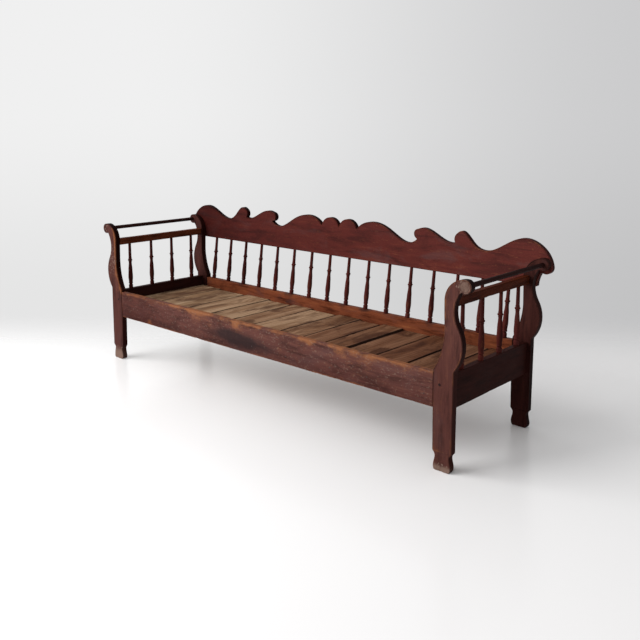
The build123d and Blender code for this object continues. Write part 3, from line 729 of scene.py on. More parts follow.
def stained_pine(name, wood, wear=1.0):
    """Old stained and varnished pine: streaks along the grain and fine fibres in three tones,
    greyed patches of varnish, stain rubbed thin at edges, scratches and flakes."""
    dark, mid, light = tones(wood)
    haze, worn, bare, soil = colours("haze", "worn", "bare", "soil")
    r = Recipe(bpy.data.materials.new(name))
    grain = r.grain()
    streak = r.noise(r.stretch(grain, 5, 34), detail=8, roughness=0.68, distortion=0.4)
    fibre = r.noise(r.stretch(grain, 16, 520), detail=3, roughness=0.7)
    cloud = r.noise(r.stretch(grain, 5, 10), detail=5, roughness=0.62, distortion=0.5)
    fleck = r.noise(r.stretch(grain, 40, 120), detail=5, roughness=0.72)
    patch = r.noise(r.stretch(grain, 9, 9), detail=2)
    colour = r.mix(r.span(streak, 0.30, 0.54), dark, mid)
    colour = r.mix(r.span(streak, 0.54, 0.72, 0, 0.65), colour, light)
    colour = r.mix(r.span(cloud, 0.52, 0.70, 0, 0.4), colour, haze)
    colour = r.mix(r.span(cloud, 0.48, 0.30, 0, 0.7), colour, dark)
    colour = r.mix(r.span(fibre, 0.4, 0.75, 0, 0.4), colour, dark)
    # places where the stain is rubbed thin: in stretches along the edges, broken up
    hold = r.span(patch, 0.38, 0.60, 0.45 * wear, wear)
    edge = r.plus(r.times(r.mark("worn"), hold), r.swing(fleck, 1.1))
    colour = r.mix(r.span(edge, 0.22, 0.95, 0, 0.8), colour, worn)
    # fine scratches along the grain and short scuffs across it
    scratch = r.noise(r.stretch(grain, 22, 240), detail=2, roughness=0.5, distortion=1.5)
    colour = r.mix(r.span(scratch, 0.66, 0.74, 0, 0.4), colour, worn)
    scuff = r.noise(r.stretch(grain, 190, 55), detail=3, roughness=0.6, distortion=0.8)
    colour = r.mix(r.span(scuff, 0.66, 0.76, 0, 0.5), colour, worn)
    # small chips where the bare mark is weak, and bare wood where it is strong
    flake = r.noise(r.stretch(grain, 95, 150), detail=2, roughness=0.5)
    loose = r.plus(flake, r.times(r.mark("bare"), 0.25))
    chip = r.times(r.span(loose, 0.62, 0.69, 0, 0.8), r.span(r.mark("bare"), 0.03, 0.2))
    chip = r.times(chip, r.span(r.mark("bare"), 0.5, 0.3))
    colour = r.mix(chip, colour, bare)
    rub = r.plus(r.mark("bare"), r.swing(fleck, 0.7))
    colour = r.mix(r.span(rub, 0.2, 0.9, 0, 0.9), colour, bare)
    dirt = r.plus(r.mark("soil"), r.swing(cloud, 0.9))
    colour = r.mix(r.span(dirt, 0.25, 0.8, 0, 0.85), colour, soil)
    colour = r.shaded(colour, 1.3, 1.3)
    rough = r.plus(r.span(cloud, 0.3, 0.7, 0.42, 0.56), r.span(edge, 0.3, 1.0, 0, 0.2))
    height = r.plus(r.times(fibre, 0.5), r.times(streak, 0.8))
    return r.finish(colour, rough, height, 0.5 * MM, gloss=0.016)


def bare_pine(name, wood):
    """Raw pine gone brown: year rings cut at a slant, so that they run in long arches, fine
    fibres, dark water stains along the grain, pale scuffs, and dirt with painted shade in the gaps
    between the boards, with a dull surface."""
    dark, mid, light = tones(wood)
    bare, soil = colours("bare", "soil")
    r = Recipe(bpy.data.materials.new(name))
    grain = r.grain()
    drift = r.noise(r.stretch(grain, 1.6, 4.0), detail=2, roughness=0.4)
    lift = r.add("CombineXYZ", {1: r.swing(drift, 0.10), 2: r.swing(drift, 0.16)})
    bent = r.add("VectorMath", {0: grain, 1: lift}, operation="ADD")
    sockets = {"Vector": r.stretch(bent, 0.12, 1), "Scale": 22.0, "Distortion": 1.2,
               "Detail": 3.0, "Detail Scale": 1.5}
    ring = r.add("TexWave", sockets, out=1, wave_type="RINGS", rings_direction="X")
    fibre = r.noise(r.stretch(grain, 10, 420), detail=3, roughness=0.7)
    streak = r.noise(r.stretch(grain, 1.8, 16), detail=5, roughness=0.62)
    stain = r.noise(r.stretch(grain, 4.0, 10), detail=5, roughness=0.62, distortion=0.7)
    scuff = r.noise(r.stretch(grain, 9, 60), detail=4, roughness=0.65)
    colour = r.mix(r.span(streak, 0.36, 0.64), mid, light)
    colour = r.mix(r.span(ring, 0.45, 0.95, 0, 0.34), colour, dark)
    colour = r.mix(r.span(fibre, 0.38, 0.75, 0, 0.28), colour, dark)
    colour = r.mix(r.span(stain, 0.48, 0.64, 0, 0.85), colour, dark)
    colour = r.mix(r.span(scuff, 0.60, 0.74, 0, 0.5), colour, light)
    # dirt, and painted shade in the gaps between the seat boards
    dirt = r.plus(r.mark("soil"), r.swing(stain, 0.8))
    colour = r.mix(r.span(dirt, 0.25, 0.9, 0, 0.8), colour, soil)
    colour = r.mix(r.span(r.mark("bare"), 0.2, 1.0, 0, 0.6), colour, bare)
    colour = r.shaded(colour, 1.5, 1.65)
    rough = r.span(streak, 0.3, 0.7, 0.62, 0.77)
    height = r.plus(r.times(fibre, 0.6), r.times(ring, -0.5))
    return r.finish(colour, rough, height, 0.6 * MM, gloss=0.03)


def old_iron(name):
    """Hammered iron gone dark: rust in patches over a rough, dull metal."""
    iron, rust = colours("iron", "rust")
    r = Recipe(bpy.data.materials.new(name))
    coordinates = r.add("TexCoord", {}, out="Object")
    patch = r.noise(coordinates, scale=240, detail=4, roughness=0.6)
    colour = r.mix(r.span(patch, 0.45, 0.7), iron, rust)
    return r.finish(colour, r.span(patch, 0.3, 0.7, 0.45, 0.8), patch, 0.3 * MM, metal=0.6)


FINISHES = {  # what makes each finish, and what it's given after the material's name
    "case_pine": (stained_pine, {"wood": "case"}),
    "crest_pine": (stained_pine, {"wood": "crest", "wear": 0.7}),
    # the inner stain: partly less faded wood, partly painted window light
    "inner_pine": (stained_pine, {"wood": "inner", "wear": 0.8}),
    "seat_pine": (bare_pine, {"wood": "board"}),
    "nail_iron": (old_iron, {}),
}


def material(name):
    """One of the bench's finishes, made when it is first asked for."""
    maker, given = FINISHES[name]
    return bpy.data.materials.get(name) or maker(name, **given)


# ---- posts ----

FOOT_TOP = 74 * MM
FOOT_ROUND = 2.5 * MM
SCROLL_RADIUS = 26 * MM
GRIP = 600 * MM  # height where hands take hold of a post
BELLY = 550 * MM  # height of the widest place in its curve

FOOT_PROFILE = (  # height above the floor and half width, millimetres
    (0, 30.0), (2, 33.0), (5, 35.4), (10, 37.2), (17, 38.0), (25, 37.5), (35, 35.2), (46, 32.4),
    (54, 31.0), (60, 31.0), (65, 32.4), (69, 35.0), (72, 37.6), (74, 39.4), (90, 39.4),
)


def carved_foot(node):
    """A foot sawn from the same board as its leg: a rounded box with flat faces, whose half
    width is a function of the height (neck, bell, rounded sole); its top is in the leg."""
    place = points_of(node).astype(float)
    place = place[place[:, 2] < FOOT_TOP - 0.1 * MM]
    low = np.array([*place.min(0)[:2], 0])
    high = np.array([*place.max(0)[:2], FOOT_TOP + 4 * MM])
    points, quads = box_skin(low, high, FOOT_ROUND, 3 * MM)
    middle, share = (low + high) / 2, (points - (low + high) / 2) / ((high - low) / 2)
    half = np.interp(points[:, 2] / MM, *np.array(FOOT_PROFILE, float).T) * MM
    points[:, 0] = middle[0] + share[:, 0] * half
    narrow, wide = np.tile(low, (len(points), 1)), np.tile(high, (len(points), 1))
    narrow[:, 0], wide[:, 0] = middle[0] - half, middle[0] + half
    wide[:, 2] += 20 * MM
    near = (np.abs(share) > 0.9).sum(1) >= 2
    points, out = round_over(points, narrow, wide, FOOT_ROUND)
    points -= out * (np.clip(waves(points, 30, len(node)), 0, 1) * 0.8 * MM)[:, None]
    points[:, 2] = np.maximum(points[:, 2], 0)
    return Skin(points, [quads], near.astype(float))


SCROLL_RING = 19 * MM  # radius of the compass-cut ring in the front scrolls
SCROLL_GROOVE = 1.1 * MM  # its half width
SCROLL_CUT = 0.9 * MM  # its depth
SCROLL_DIMPLE = 2.2 * MM  # radius of the compass's own mark in the middle
SCROLL_POINTS = 72  # points round each ring of the carving
SCROLL_RADII = np.array((0.8, 1.8, 3.2, 5, 8, 12, 15)) * MM  # rings inside the groove


def scroll_carving(centre):
    """A scroll's carving: a round-bottomed groove round the centre and a small dimple in it,
    as a depth over the face, and rings of points that are close enough to hold both."""

    def depth(points):
        reach = np.hypot(*(points - centre).T)
        groove = np.exp(-(((reach - SCROLL_RING) / SCROLL_GROOVE) ** 2))
        dimple = np.exp(-((reach / SCROLL_DIMPLE) ** 2))
        return SCROLL_CUT * (groove + 1.3 * dimple)

    close = SCROLL_RING + SCROLL_GROOVE * np.array((-2, -1.3, -0.6, 0, 0.6, 1.3, 2))
    radii = np.concatenate([SCROLL_RADII, close])
    angle = np.arange(SCROLL_POINTS) * 2 * np.pi / SCROLL_POINTS
    rings = np.stack([np.outer(radii, np.cos(angle)), np.outer(radii, np.sin(angle))], -1)
    return depth, [(centre, close[-1] + 1 * MM, centre + rings.reshape(-1, 2))]


class BENCH_OT_posts(bpy.types.Operator):
    """Make the four sawn posts with their carved feet"""

    bl_idname = "bench.posts"
    bl_label = "Posts"

    def execute(self, context):
        step = context.scene.bench_shape.outline_step
        for seed, (row, side) in enumerate(product(("front", "back"), SIDES)):
            node = f"{row}_{side}_post"
            low, high = span_of(node)
            edge, out = (low[0], -1) if side == "left" else (high[0], 1)
            centre = np.array((edge - out * SCROLL_RADIUS, high[2] - SCROLL_RADIUS))
            outline = smooth_outline(face_outline(node, low[1]), step)
            carving = scroll_carving(centre) if row == "front" else None
            board = sawn_board(
                outline, low[1], high[1], 40 + seed, spacing=6 * MM, carving=carving
            )
            skin = joined([board, carved_foot(node)])
            marks = self.marks(skin, row, out, centre)
            make_piece(
                f"{node}_board", skin, "case_pine", "z", "frame", [node], "stained_pine",
                100 + seed, **marks,
            )
        return {"FINISHED"}

    @staticmethod
    def marks(skin, row, out, centre):
        """Wear and painted shade on a post: rubbed scroll and edges, the inner edge most, with a
        painted highlight along it on the left, a chipped belly on the left and a bare foot;
        painted shade on the sawn sides, most up the neck, and on the back posts, most below the
        seat. Each is a ramp or a smooth hill over the height, the distance to the scroll's centre
        or the depth, in metres."""
        x, y, height = skin.points.T
        front, back = y.min(), y.max()
        reach = np.hypot(x - centre[0], height - centre[1])
        disc = ramp(reach, 1.6 * SCROLL_RADIUS, 0.6 * SCROLL_RADIUS)
        sole = ramp(height, 0.036, 0.016)
        # painted shade: the sawn sides are the darkest, most up the neck, and the back a little
        # darker than the front
        shade = -0.5 - 0.22 * ramp(height, 0.4, 0.5)
        shade *= ramp(y, front + 3 * MM, front + 7 * MM)
        shade *= 1 - 0.7 * ramp(y, back - 2 * MM, back)
        if row == "back":
            # the back posts are darker all over, with painted shade below the seat
            tone = -0.42 - 0.25 * ramp(height, 0.45, 0.35) + 0.4 * shade
            return {"worn": 0.3 * skin.near, "bare": 0.1 * sole, "tone": tone}
        lit = 1 + shade
        if out < 0:
            # the inner edge: rubbed stain, with a painted highlight along it
            inner = ramp(out * (x - centre[0]), -0.045, -0.075) * ramp(height, 0.36, 0.39)
            foot = ramp(height, 0.085, 0.035)
            chips = 0.34 + 0.3 * np.clip(waves(skin.points, 24, 9) - 0.5, 0, 1)
            chips *= bump_of(skin.points, 2, BELLY, 0.09)
            worn = skin.near * (0.3 + 1.0 * inner) + 0.55 * inner
            bare = 0.85 * foot + 0.2 * disc + 0.8 * chips * lit
            tone = 0.9 * shade - 0.24 - 0.02 * ramp(height, 0.4, 0.3)
            return {"worn": worn * lit, "bare": bare, "tone": tone}
        grip = bump_of(skin.points, 2, GRIP, 0.14)
        worn = 0.4 * skin.near + 0.35 * grip + 0.3 * ramp(height, 0.14, 0.09)
        bare = 0.7 * sole + 0.55 * disc
        tone = shade - 0.14 + 0.2 * grip * lit
        return {"worn": worn * lit, "bare": bare * lit, "tone": tone}


# ---- rails ----

# painted shade: the end rails' seen faces turn away from the window
END_RAIL_SHADE = {"left": -0.58, "right": -0.68}  # very dark outside
TENON_THICKNESS = 12 * MM
RAIL_SHOULDER = 20 * MM  # how far a wide rail's tenons stand in from its edges
ARM_SHOULDER = 7 * MM  # the same for an arm rail
RAIL_PLAY = 1.5 * MM  # how far the back rail's shoulders stand past the front rail's ends

# marks on the front rail, each with its x, its z and its strength
SMUDGES = ((-0.08, 0.30, 0.9), (0.0, 0.29, 0.9), (-0.17, 0.31, 0.9))
SCUFFS = (
    (-0.764, 0.255, 0.9), (-0.092, 0.371, 0.8), (-0.274, 0.327, 0.5), (0.098, 0.311, 0.6),
    (0.2, 0.3, 0.5), (0.296, 0.287, 0.5), (0.382, 0.367, 0.5),
)


def tenoned_rail(node, axis, shoulders, cut, seed, **board):
    """A rail between two posts: a worn board from shoulder to shoulder along an axis, and a
    plain block at each end, which is its tenon and ends in the post."""
    low, high = span_of(node)
    body_low, body_high = low.copy(), high.copy()
    body_low[axis], body_high[axis] = shoulders
    skins = [worn_board(body_low, body_high, seed, **board)]
    thick = 1 - axis
    middle = (low[thick] + high[thick]) / 2
    for start, end in ((low[axis], shoulders[0]), (shoulders[1], high[axis])):
        a, b = low.copy(), high.copy()
        a[axis], b[axis] = start, end
        a[thick], b[thick] = middle - TENON_THICKNESS / 2, middle + TENON_THICKNESS / 2
        a[2], b[2] = low[2] + cut, high[2] - cut
        skins.append(worn_board(a, b, 7, radius=0.5 * MM, nicks=0))
    return joined(skins)


class BENCH_OT_rails(bpy.types.Operator):
    """Make the front rail, the back rail and the two end rails"""

    bl_idname = "bench.rails"
    bl_label = "Rails"

    def execute(self, context):
        self.front_rail()
        self.back_rail()
        for number, side in enumerate(SIDES):
            self.end_rail(side, 140 + number)
        return {"FINISHED"}

    def front_rail(self):
        """The wide front board: top and bottom edges worn through, smudges and scuffs."""
        low, high = span_of("front_rail")
        skin = worn_board(low, high, 120, radius=3 * MM, nicks=1.5)
        points = skin.points
        top = 0.7 * bump_of(points, 2, high[2], 9 * MM) + 0.45 * bump_of(points, 2, high[2], 0.04)
        bottom = bump_of(points, 2, low[2], 6 * MM)
        smudge = spots(points, [(-0.12, 0.3, 1.3)], 0.28, 0.05)
        smudge += spots(points, [(-0.72, 0.33, 0.5)], 0.2, 0.05)
        smudge += spots(points, [(0.3, low[2] + 0.03, 0.4)], 0.4, 0.03)
        smudge += spots(points, SMUDGES, 0.03, 0.018)
        scuffs = spots(points, SCUFFS, 0.02, 0.016)
        patches = 0.3 * np.clip(waves(points, 3.5, 122), 0, 1)
        worn = np.clip(0.85 * top + 0.7 * bottom + scuffs + patches + 0.3 * skin.near, 0, 1)
        tone = 0.1 - 0.3 * bump_of(points, 2, low[2], 0.05)
        tone -= 0.3 * ramp(points[:, 0], -0.55, -0.8)
        make_piece(
            "front_rail_board", skin, "case_pine", "x", "front", ["front_rail"],
            "stained_pine", 121, worn=worn, bare=0.09, soil=0.55 * np.clip(smudge, 0, 1.4),
            tone=tone,
        )

    def back_rail(self):
        """The back rail, warm inside, partly wood less faded and partly painted window light, with
        a paler worn strip along its foot, and tenons.
        """
        shoulder = span_of("front_rail")[0][0] - RAIL_PLAY
        skin = tenoned_rail("back_rail", 0, (shoulder, -shoulder), RAIL_SHOULDER, 130)
        seat_top = span_of("fixed_slat_01")[1][2]
        strip = bump_of(skin.points, 2, seat_top + 6 * MM, 8 * MM)
        dark_top = bump_of(skin.points, 2, span_of("back_rail")[1][2], 10 * MM)
        stains = 0.36 * np.clip(waves(skin.points, 5.5, 133) + 0.1, 0, 1)
        make_piece(
            "back_rail_board", skin, "inner_pine", "x", "frame", ["back_rail"], "worn_pine",
            131, worn=0.4 * skin.near + 0.5 * strip, soil=0.3 * dark_top + stains,
            tone=0.06 * np.clip(skin.points[:, 0], -1, 1) - 0.14,
        )

    def end_rail(self, side, seed):
        """An end rail, set back between its posts and darkened all over as painted shade."""
        node = f"{side}_end_rail"
        skin = tenoned_rail(node, 1, between_posts(side), RAIL_SHOULDER, seed)
        make_piece(
            f"{node}_board", skin, "case_pine", "y", "frame", [node], "stained_pine",
            seed, worn=0.3 * skin.near, tone=END_RAIL_SHADE[side],
        )


# ---- arms ----

ARM_RAIL_TONES = {"left": -0.38, "right": -0.65}
ROD_STATIONS = 9  # places along an arm rod where its radius is set


class BENCH_OT_arms(bpy.types.Operator):
    """Make the arm rails and the round rods between the scrolls"""

    bl_idname = "bench.arms"
    bl_label = "Arms"

    def execute(self, context):
        for number, side in enumerate(SIDES):
            self.rail(number, side)
            self.rod(number, side)
        return {"FINISHED"}

    def rail(self, number, side):
        """An arm rail with tenons, rubbed a little along its top."""
        node = f"{side}_arm_rail"
        skin = tenoned_rail(
            node, 1, between_posts(side), ARM_SHOULDER, 150 + number, radius=4 * MM, cell=10 * MM
        )
        top = bump_of(skin.points, 2, span_of(node)[1][2], 6 * MM)
        make_piece(
            f"{node}_board", skin, "inner_pine", "y", "frame", [node], "stained_pine",
            152 + number, worn=0.3 * skin.near + 0.2 * top, tone=ARM_RAIL_TONES[side],
        )

    def rod(self, number, side):
        """A rod rounded by hand: its radius falls by up to 3 % in places, as the size of a
        sine does."""
        node = f"{side}_arm_rod"
        low, high = span_of(node)
        heights = np.linspace(0, high[1] - low[1], ROD_STATIONS)
        uneven = np.abs(np.sin(np.arange(ROD_STATIONS) * 2.3 + number))
        radii = (high[0] - low[0]) / 2 * (1 - 0.03 * uneven)
        x, _, z = (low + high) / 2
        skin = turned_along_y(x, z, (low[1], high[1]), heights, radii)
        make_piece(
            f"{node}_turned", skin, "case_pine", "y", "frame", [node], "stained_pine",
            156 + number, soil=0.55, tone=-0.45 - 0.15 * number,
        )


# ---- back ----


class BENCH_OT_crest(bpy.types.Operator):
    """Make the scroll-sawn crest board"""

    bl_idname = "bench.crest"
    bl_label = "Crest board"

    def execute(self, context):
        low, high = span_of("crest_board")
        step = context.scene.bench_shape.outline_step
        outline = smooth_outline(face_outline("crest_board", low[1]), 1.2 * step, sharp_turn=50)
        skin = sawn_board(outline, low[1], high[1], 160, radius=2.5 * MM)
        x, y, height = skin.points.T
        # darker towards the left end; paler on the humps at the right: worn stain and a painted
        # highlight along their tops
        shade = 0.26 * np.clip(x, -1.2, 1.2) - 0.06 - 0.24 * ramp(x, -2 / 3, -1.0)
        humps = 0.2 * ramp(height, low[2], low[2] + 0.2) * ramp(x, -0.6, 0.4)
        # painted shade: the sawn edge behind the front's rounding is nearly black, the back a
        # little less
        rim = ramp(y, low[1] + 3 * MM, low[1] + 6 * MM)
        rim *= 1 - 0.75 * ramp(y, high[1] - 2 * MM, high[1])
        make_piece(
            "crest_board_sawn", skin, "crest_pine", "x", "frame", ["crest_board"],
            "stained_pine", 161, worn=(0.55 * skin.near + humps) * (1 - rim),
            tone=np.clip(shade - 0.8 * rim, -0.85, 1),
        )
        return {"FINISHED"}


ARM_SPINDLES = 4  # under each arm
ARM_SPINDLE_TONES = {"left": -0.35, "right": -0.3}
SPINDLE_TOP_RADIUS = 7.5
SPINDLE_STATIONS = (  # height above the foot and radius, millimetres
    (0, 11.4), (18, 11.4), (21, 9.0), (24.5, 8.8), (29, 11.8), (33.5, 10.5), (62, 12.6),
    (104, 11.0), (145, 8.1), (148, 9.4), (151, 8.6), (158, 12.3), (165, 8.6), (168, 9.3),
    (171, 8.1),
)


def turned_spindle(foot, head):
    """A turned spindle with level ends, so that it meets the rails it stands between."""
    heights = [height for height, _ in SPINDLE_STATIONS] + [(head[2] - foot[2]) / MM]
    radii = [radius * MM for _, radius in SPINDLE_STATIONS] + [SPINDLE_TOP_RADIUS * MM]
    return turned_piece(foot, head, heights, radii)


class BENCH_OT_spindles(bpy.types.Operator):
    """Make the back spindles and the spindles under each arm"""

    bl_idname = "bench.spindles"
    bl_label = "Spindles"

    def execute(self, context):
        rail_low, rail_high = span_of("back_rail")
        crest_low, crest_high = span_of("crest_board")
        foot_y = (rail_low[1] + rail_high[1]) / 2
        head_y = (crest_low[1] + crest_high[1]) / 2
        for number, node in enumerate(nodes_with("back_spindle")):
            low, high = span_of(node)
            x = (low[0] + high[0]) / 2
            skin = turned_spindle((x, foot_y, rail_high[2]), (x, head_y, crest_low[2]))
            self.finish_spindles(skin, node, 170 + number, 0.12 * x - 0.12)
        for number, side in enumerate(SIDES):
            node = f"{side}_arm_spindles"
            low, high = span_of(node)
            x = (low[0] + high[0]) / 2
            front, back = between_posts(side)
            places = front + (np.arange(ARM_SPINDLES) + 0.5) * (back - front) / ARM_SPINDLES
            skin = joined([turned_spindle((x, y, low[2]), (x, y, high[2])) for y in places])
            self.finish_spindles(skin, node, 190 + number, ARM_SPINDLE_TONES[side])
        return {"FINISHED"}

    @staticmethod
    def finish_spindles(skin, node, seed, shade):
        """Rubbed collars, and a tone a little off the given one."""
        tone = shade + float(np.random.default_rng(seed).uniform(-0.15, 0.05))
        make_piece(
            f"{node}_turned", skin, "crest_pine", "z", "frame", [node], "stained_pine", seed,
            worn=0.55 * skin.near, tone=tone,
        )


# ---- seat ----

SEAT_TONES_AND_SHADE = (  # each board's tone from left to right, partly its own and partly painted shade that darkens the boards towards the right
    0.16, 0.26, 0.1, 0.12, -0.04, 0.04, -0.14, -0.36, -0.34, -0.38, -0.46, -0.4, -0.44,
)


class BENCH_OT_seat(bpy.types.Operator):
    """Make the thirteen loose seat boards"""

    bl_idname = "bench.seat"
    bl_label = "Seat boards"

    def execute(self, context):
        nodes = sorted(nodes_with("_slat_"), key=lambda name: name[-2:])
        for number, (node, tone) in enumerate(zip(nodes, SEAT_TONES_AND_SHADE, strict=True)):
            low, high = span_of(node)
            skin = worn_board(low, high, 200 + 3 * number, radius=3 * MM, nicks=1.2)
            # darker towards the back end, and painted shade in the gaps along both long edges of
            # each board
            back = bump_of(skin.points, 1, high[1], 0.06)
            left = bump_of(skin.points, 0, low[0], 5 * MM)
            right = bump_of(skin.points, 0, high[0], 5 * MM)
            body = "frame" if node.startswith("fixed") else "front"
            make_piece(
                f"{node}_board", skin, "seat_pine", "y", body, [node], "bare_pine",
                201 + 3 * number, soil=0.3 * back + 0.9 * (left + right), tone=tone,
            )
        return {"FINISHED"}


# ---- supports under the seat ----

SUPPORTS = (  # node, the way its grain runs, and its body
    ("back_ledger", "x", "frame"), ("front_stretcher", "x", "frame"),
    ("front_cleat", "x", "front"), ("rear_batten", "x", "front"),
    ("left_runner", "y", "frame"), ("right_runner", "y", "frame"),
    ("left_corner_block", "z", "frame"), ("right_corner_block", "z", "frame"),
)
BATTEN_PLAY = 0.7 * MM  # the batten slides under the fixed boards, clear of them by this much


class BENCH_OT_supports(bpy.types.Operator):
    """Make the ledger, stretcher, runners, corner blocks, cleat and batten"""

    bl_idname = "bench.supports"
    bl_label = "Supports"

    def execute(self, context):
        for number, (node, grain, body) in enumerate(SUPPORTS):
            low, high = span_of(node)
            if node == "rear_batten":
                high[2] -= BATTEN_PLAY
            skin = worn_board(low, high, 260 + 3 * number, radius=1.2 * MM, cell=20 * MM)
            make_piece(
                f"{node}_block", skin, "seat_pine", grain, body, [node], "bare_pine",
                261 + 3 * number, soil=0.15, tone=-0.18,
            )
        return {"FINISHED"}


PIVOT_SHANK = 8 * MM  # radius of the part in the leg
PIVOT_HEAD = 4 * MM  # thickness of its head


class BENCH_OT_fold_legs(bpy.types.Operator):
    """Make the folding legs and the turned pivots that they swing on"""

    bl_idname = "bench.fold_legs"
    bl_label = "Folding legs"

    def execute(self, context):
        step = context.scene.bench_shape.outline_step
        for number, side in enumerate(SIDES):
            self.leg(number, side, step)
            self.pivot(number, side)
        return {"FINISHED"}

    def leg(self, number, side, step):
        """A leg sawn from a board, on the body that folds down."""
        node = f"{side}_fold_leg"
        low, high = span_of(node)
        outline = smooth_outline(face_outline(node, low[1]), step)
        skin = sawn_board(outline, low[1], high[1], 300 + number)
        make_piece(
            f"{node}_board", skin, "seat_pine", "x", f"leg_{side}", [node], "bare_pine",
            302 + number, soil=0.1, tone=-0.1,
        )

    def pivot(self, number, side):
        """A turned pivot with a straight shank and a flat head at its rear end."""
        node = f"{side}_leg_pivot"
        low, high = span_of(node)
        reach, head = high[1] - low[1], (high[0] - low[0]) / 2
        neck = reach - PIVOT_HEAD
        heights = (0, 1 * MM, neck, neck + 0.1 * MM, reach - 1.2 * MM, reach)
        radii = (PIVOT_SHANK - 1 * MM, PIVOT_SHANK, PIVOT_SHANK, head, head, head - 1.5 * MM)
        x, _, z = (low + high) / 2
        skin = turned_along_y(x, z, (low[1], high[1]), heights, radii)
        make_piece(
            f"{node}_turned", skin, "seat_pine", "y", "front", [node], "bare_pine",
            306 + number, soil=0.3, tone=-0.25,
        )


# ---- pegs and nails ----

NAIL_SIDES = 10
NAIL_LEVELS = (  # share of the head's radius, and height over the board
    (1.0, -0.6 * MM), (1.0, 0.1 * MM), (0.75, 0.5 * MM), (0.3, 0.7 * MM),
)
RAIL_NAILS = 9  # along the front rail
NAIL_MARGIN = 60 * MM  # from the front rail's ends to its outer nails
CARRIERS = {  # what the boards of each body are nailed to
    "frame": ("front_stretcher", "back_ledger"), "front": ("front_cleat", "rear_batten"),
}


def nail_heads(places, out, radius):
    """Low round nail heads: a few rings for each place, which shrink as they rise along the
    outward direction, as one array over all the nails."""
    out = np.array(out, float)
    side = np.array((1.0, 0, 0))
    angle = np.arange(NAIL_SIDES)[:, None] * 2 * np.pi / NAIL_SIDES
    ring = np.cos(angle) * side + np.sin(angle) * np.cross(out, side)
    rings = np.stack([ring * radius * share + out * rise for share, rise in NAIL_LEVELS], 1)
    points = np.array(places, float)[:, None, None, :] + rings[None]
    count, sides, rows = points.shape[:3]
    starts = np.arange(count)[:, None] * sides * rows
    quads = (starts[:, :, None] + grid_quads(sides, rows, closed=True)[None]).reshape(-1, 4)
    ends = np.arange(sides) * rows
    points = points.reshape(-1, 3)
    return Skin(
        points, [quads], np.ones(len(points)),
        caps=[starts + ends[::-1], starts + ends + rows - 1],
    )


class BENCH_OT_fasteners(bpy.types.Operator):
    """Make the pegs through the front posts and the nails in the boards"""

    bl_idname = "bench.fasteners"
    bl_label = "Pegs and nails"

    def execute(self, context):
        radius = context.scene.bench_shape.nail_radius
        draw = np.random.default_rng(330)
        self.pegs()
        for body, kind in (("frame", "fixed"), ("front", "moving")):
            skins = [self.board_nails(body, kind, draw, radius)]
            if body == "front":
                skins.append(self.rail_nails(draw, radius))
            make_piece(
                f"{body}_nails", joined(skins), "nail_iron", "z", body, [], "bare_pine", 331
            )
        return {"FINISHED"}

    def pegs(self):
        """Two pegs with slightly domed ends, set in from the ends of their own box."""
        low, high = span_of("post_pegs")
        radius, reach = (high[2] - low[2]) / 2, high[1] - low[1]
        heights = (0, 0.5 * MM, 1.6 * MM, reach - 1 * MM, reach)
        radii = (radius - 2.2 * MM, radius - 0.8 * MM, radius, radius, radius - 1 * MM)
        skins = [
            turned_along_y(x, (low[2] + high[2]) / 2, (low[1], high[1]), heights, radii)
            for x in (low[0] + radius, high[0] - radius)
        ]
        make_piece(
            "post_pegs_turned", joined(skins), "case_pine", "y", "frame", ["post_pegs"],
            "stained_pine", 320, soil=0.9, tone=-0.2,
        )

    def board_nails(self, body, kind, draw, radius):
        """Two nails through each seat board into each piece that carries it."""
        places = []
        for node in nodes_with(f"{kind}_slat_"):
            low, high = span_of(node)
            for carrier in CARRIERS[body]:
                carrier_low, carrier_high = span_of(carrier)
                y = (carrier_low[1] + carrier_high[1]) / 2
                for share in (0.2, 0.8):
                    x = low[0] + share * (high[0] - low[0]) + draw.uniform(-12, 12) * MM
                    places.append((x, y + draw.uniform(-3, 3) * MM, high[2] - 0.6 * MM))
        return nail_heads(places, (0, 0, 1), radius)

    def rail_nails(self, draw, radius):
        """A row of nails through the front rail into the cleat behind it."""
        low, high = span_of("front_rail")
        x = np.linspace(low[0] + NAIL_MARGIN, high[0] - NAIL_MARGIN, RAIL_NAILS)
        x += draw.uniform(-25, 25, RAIL_NAILS) * MM
        cleat_low, cleat_high = span_of("front_cleat")
        z = (cleat_low[2] + cleat_high[2]) / 2 + draw.uniform(-6, 6, RAIL_NAILS) * MM
        y = np.full(RAIL_NAILS, low[1] + 0.3 * MM)
        return nail_heads(np.stack([x, y, z], 1), (0, -1, 0), radius)


# ---- stage ----

FLOOR_RADII = np.linspace(0.05, 5, 40)  # rings of the floor, in metres from the origin
FLOOR_SIDES = 96
BRIGHT_SIDE = (-0.60, -0.54, 0.59)  # the direction from which the room is brightest
ROOM_RANGE = (0.15, 1.85)  # its strength at the far side and at the bright side
AIM = (0, 0, 0.4)  # what the window light points at
SENSOR_WIDTH = 36  # of the camera, millimetres


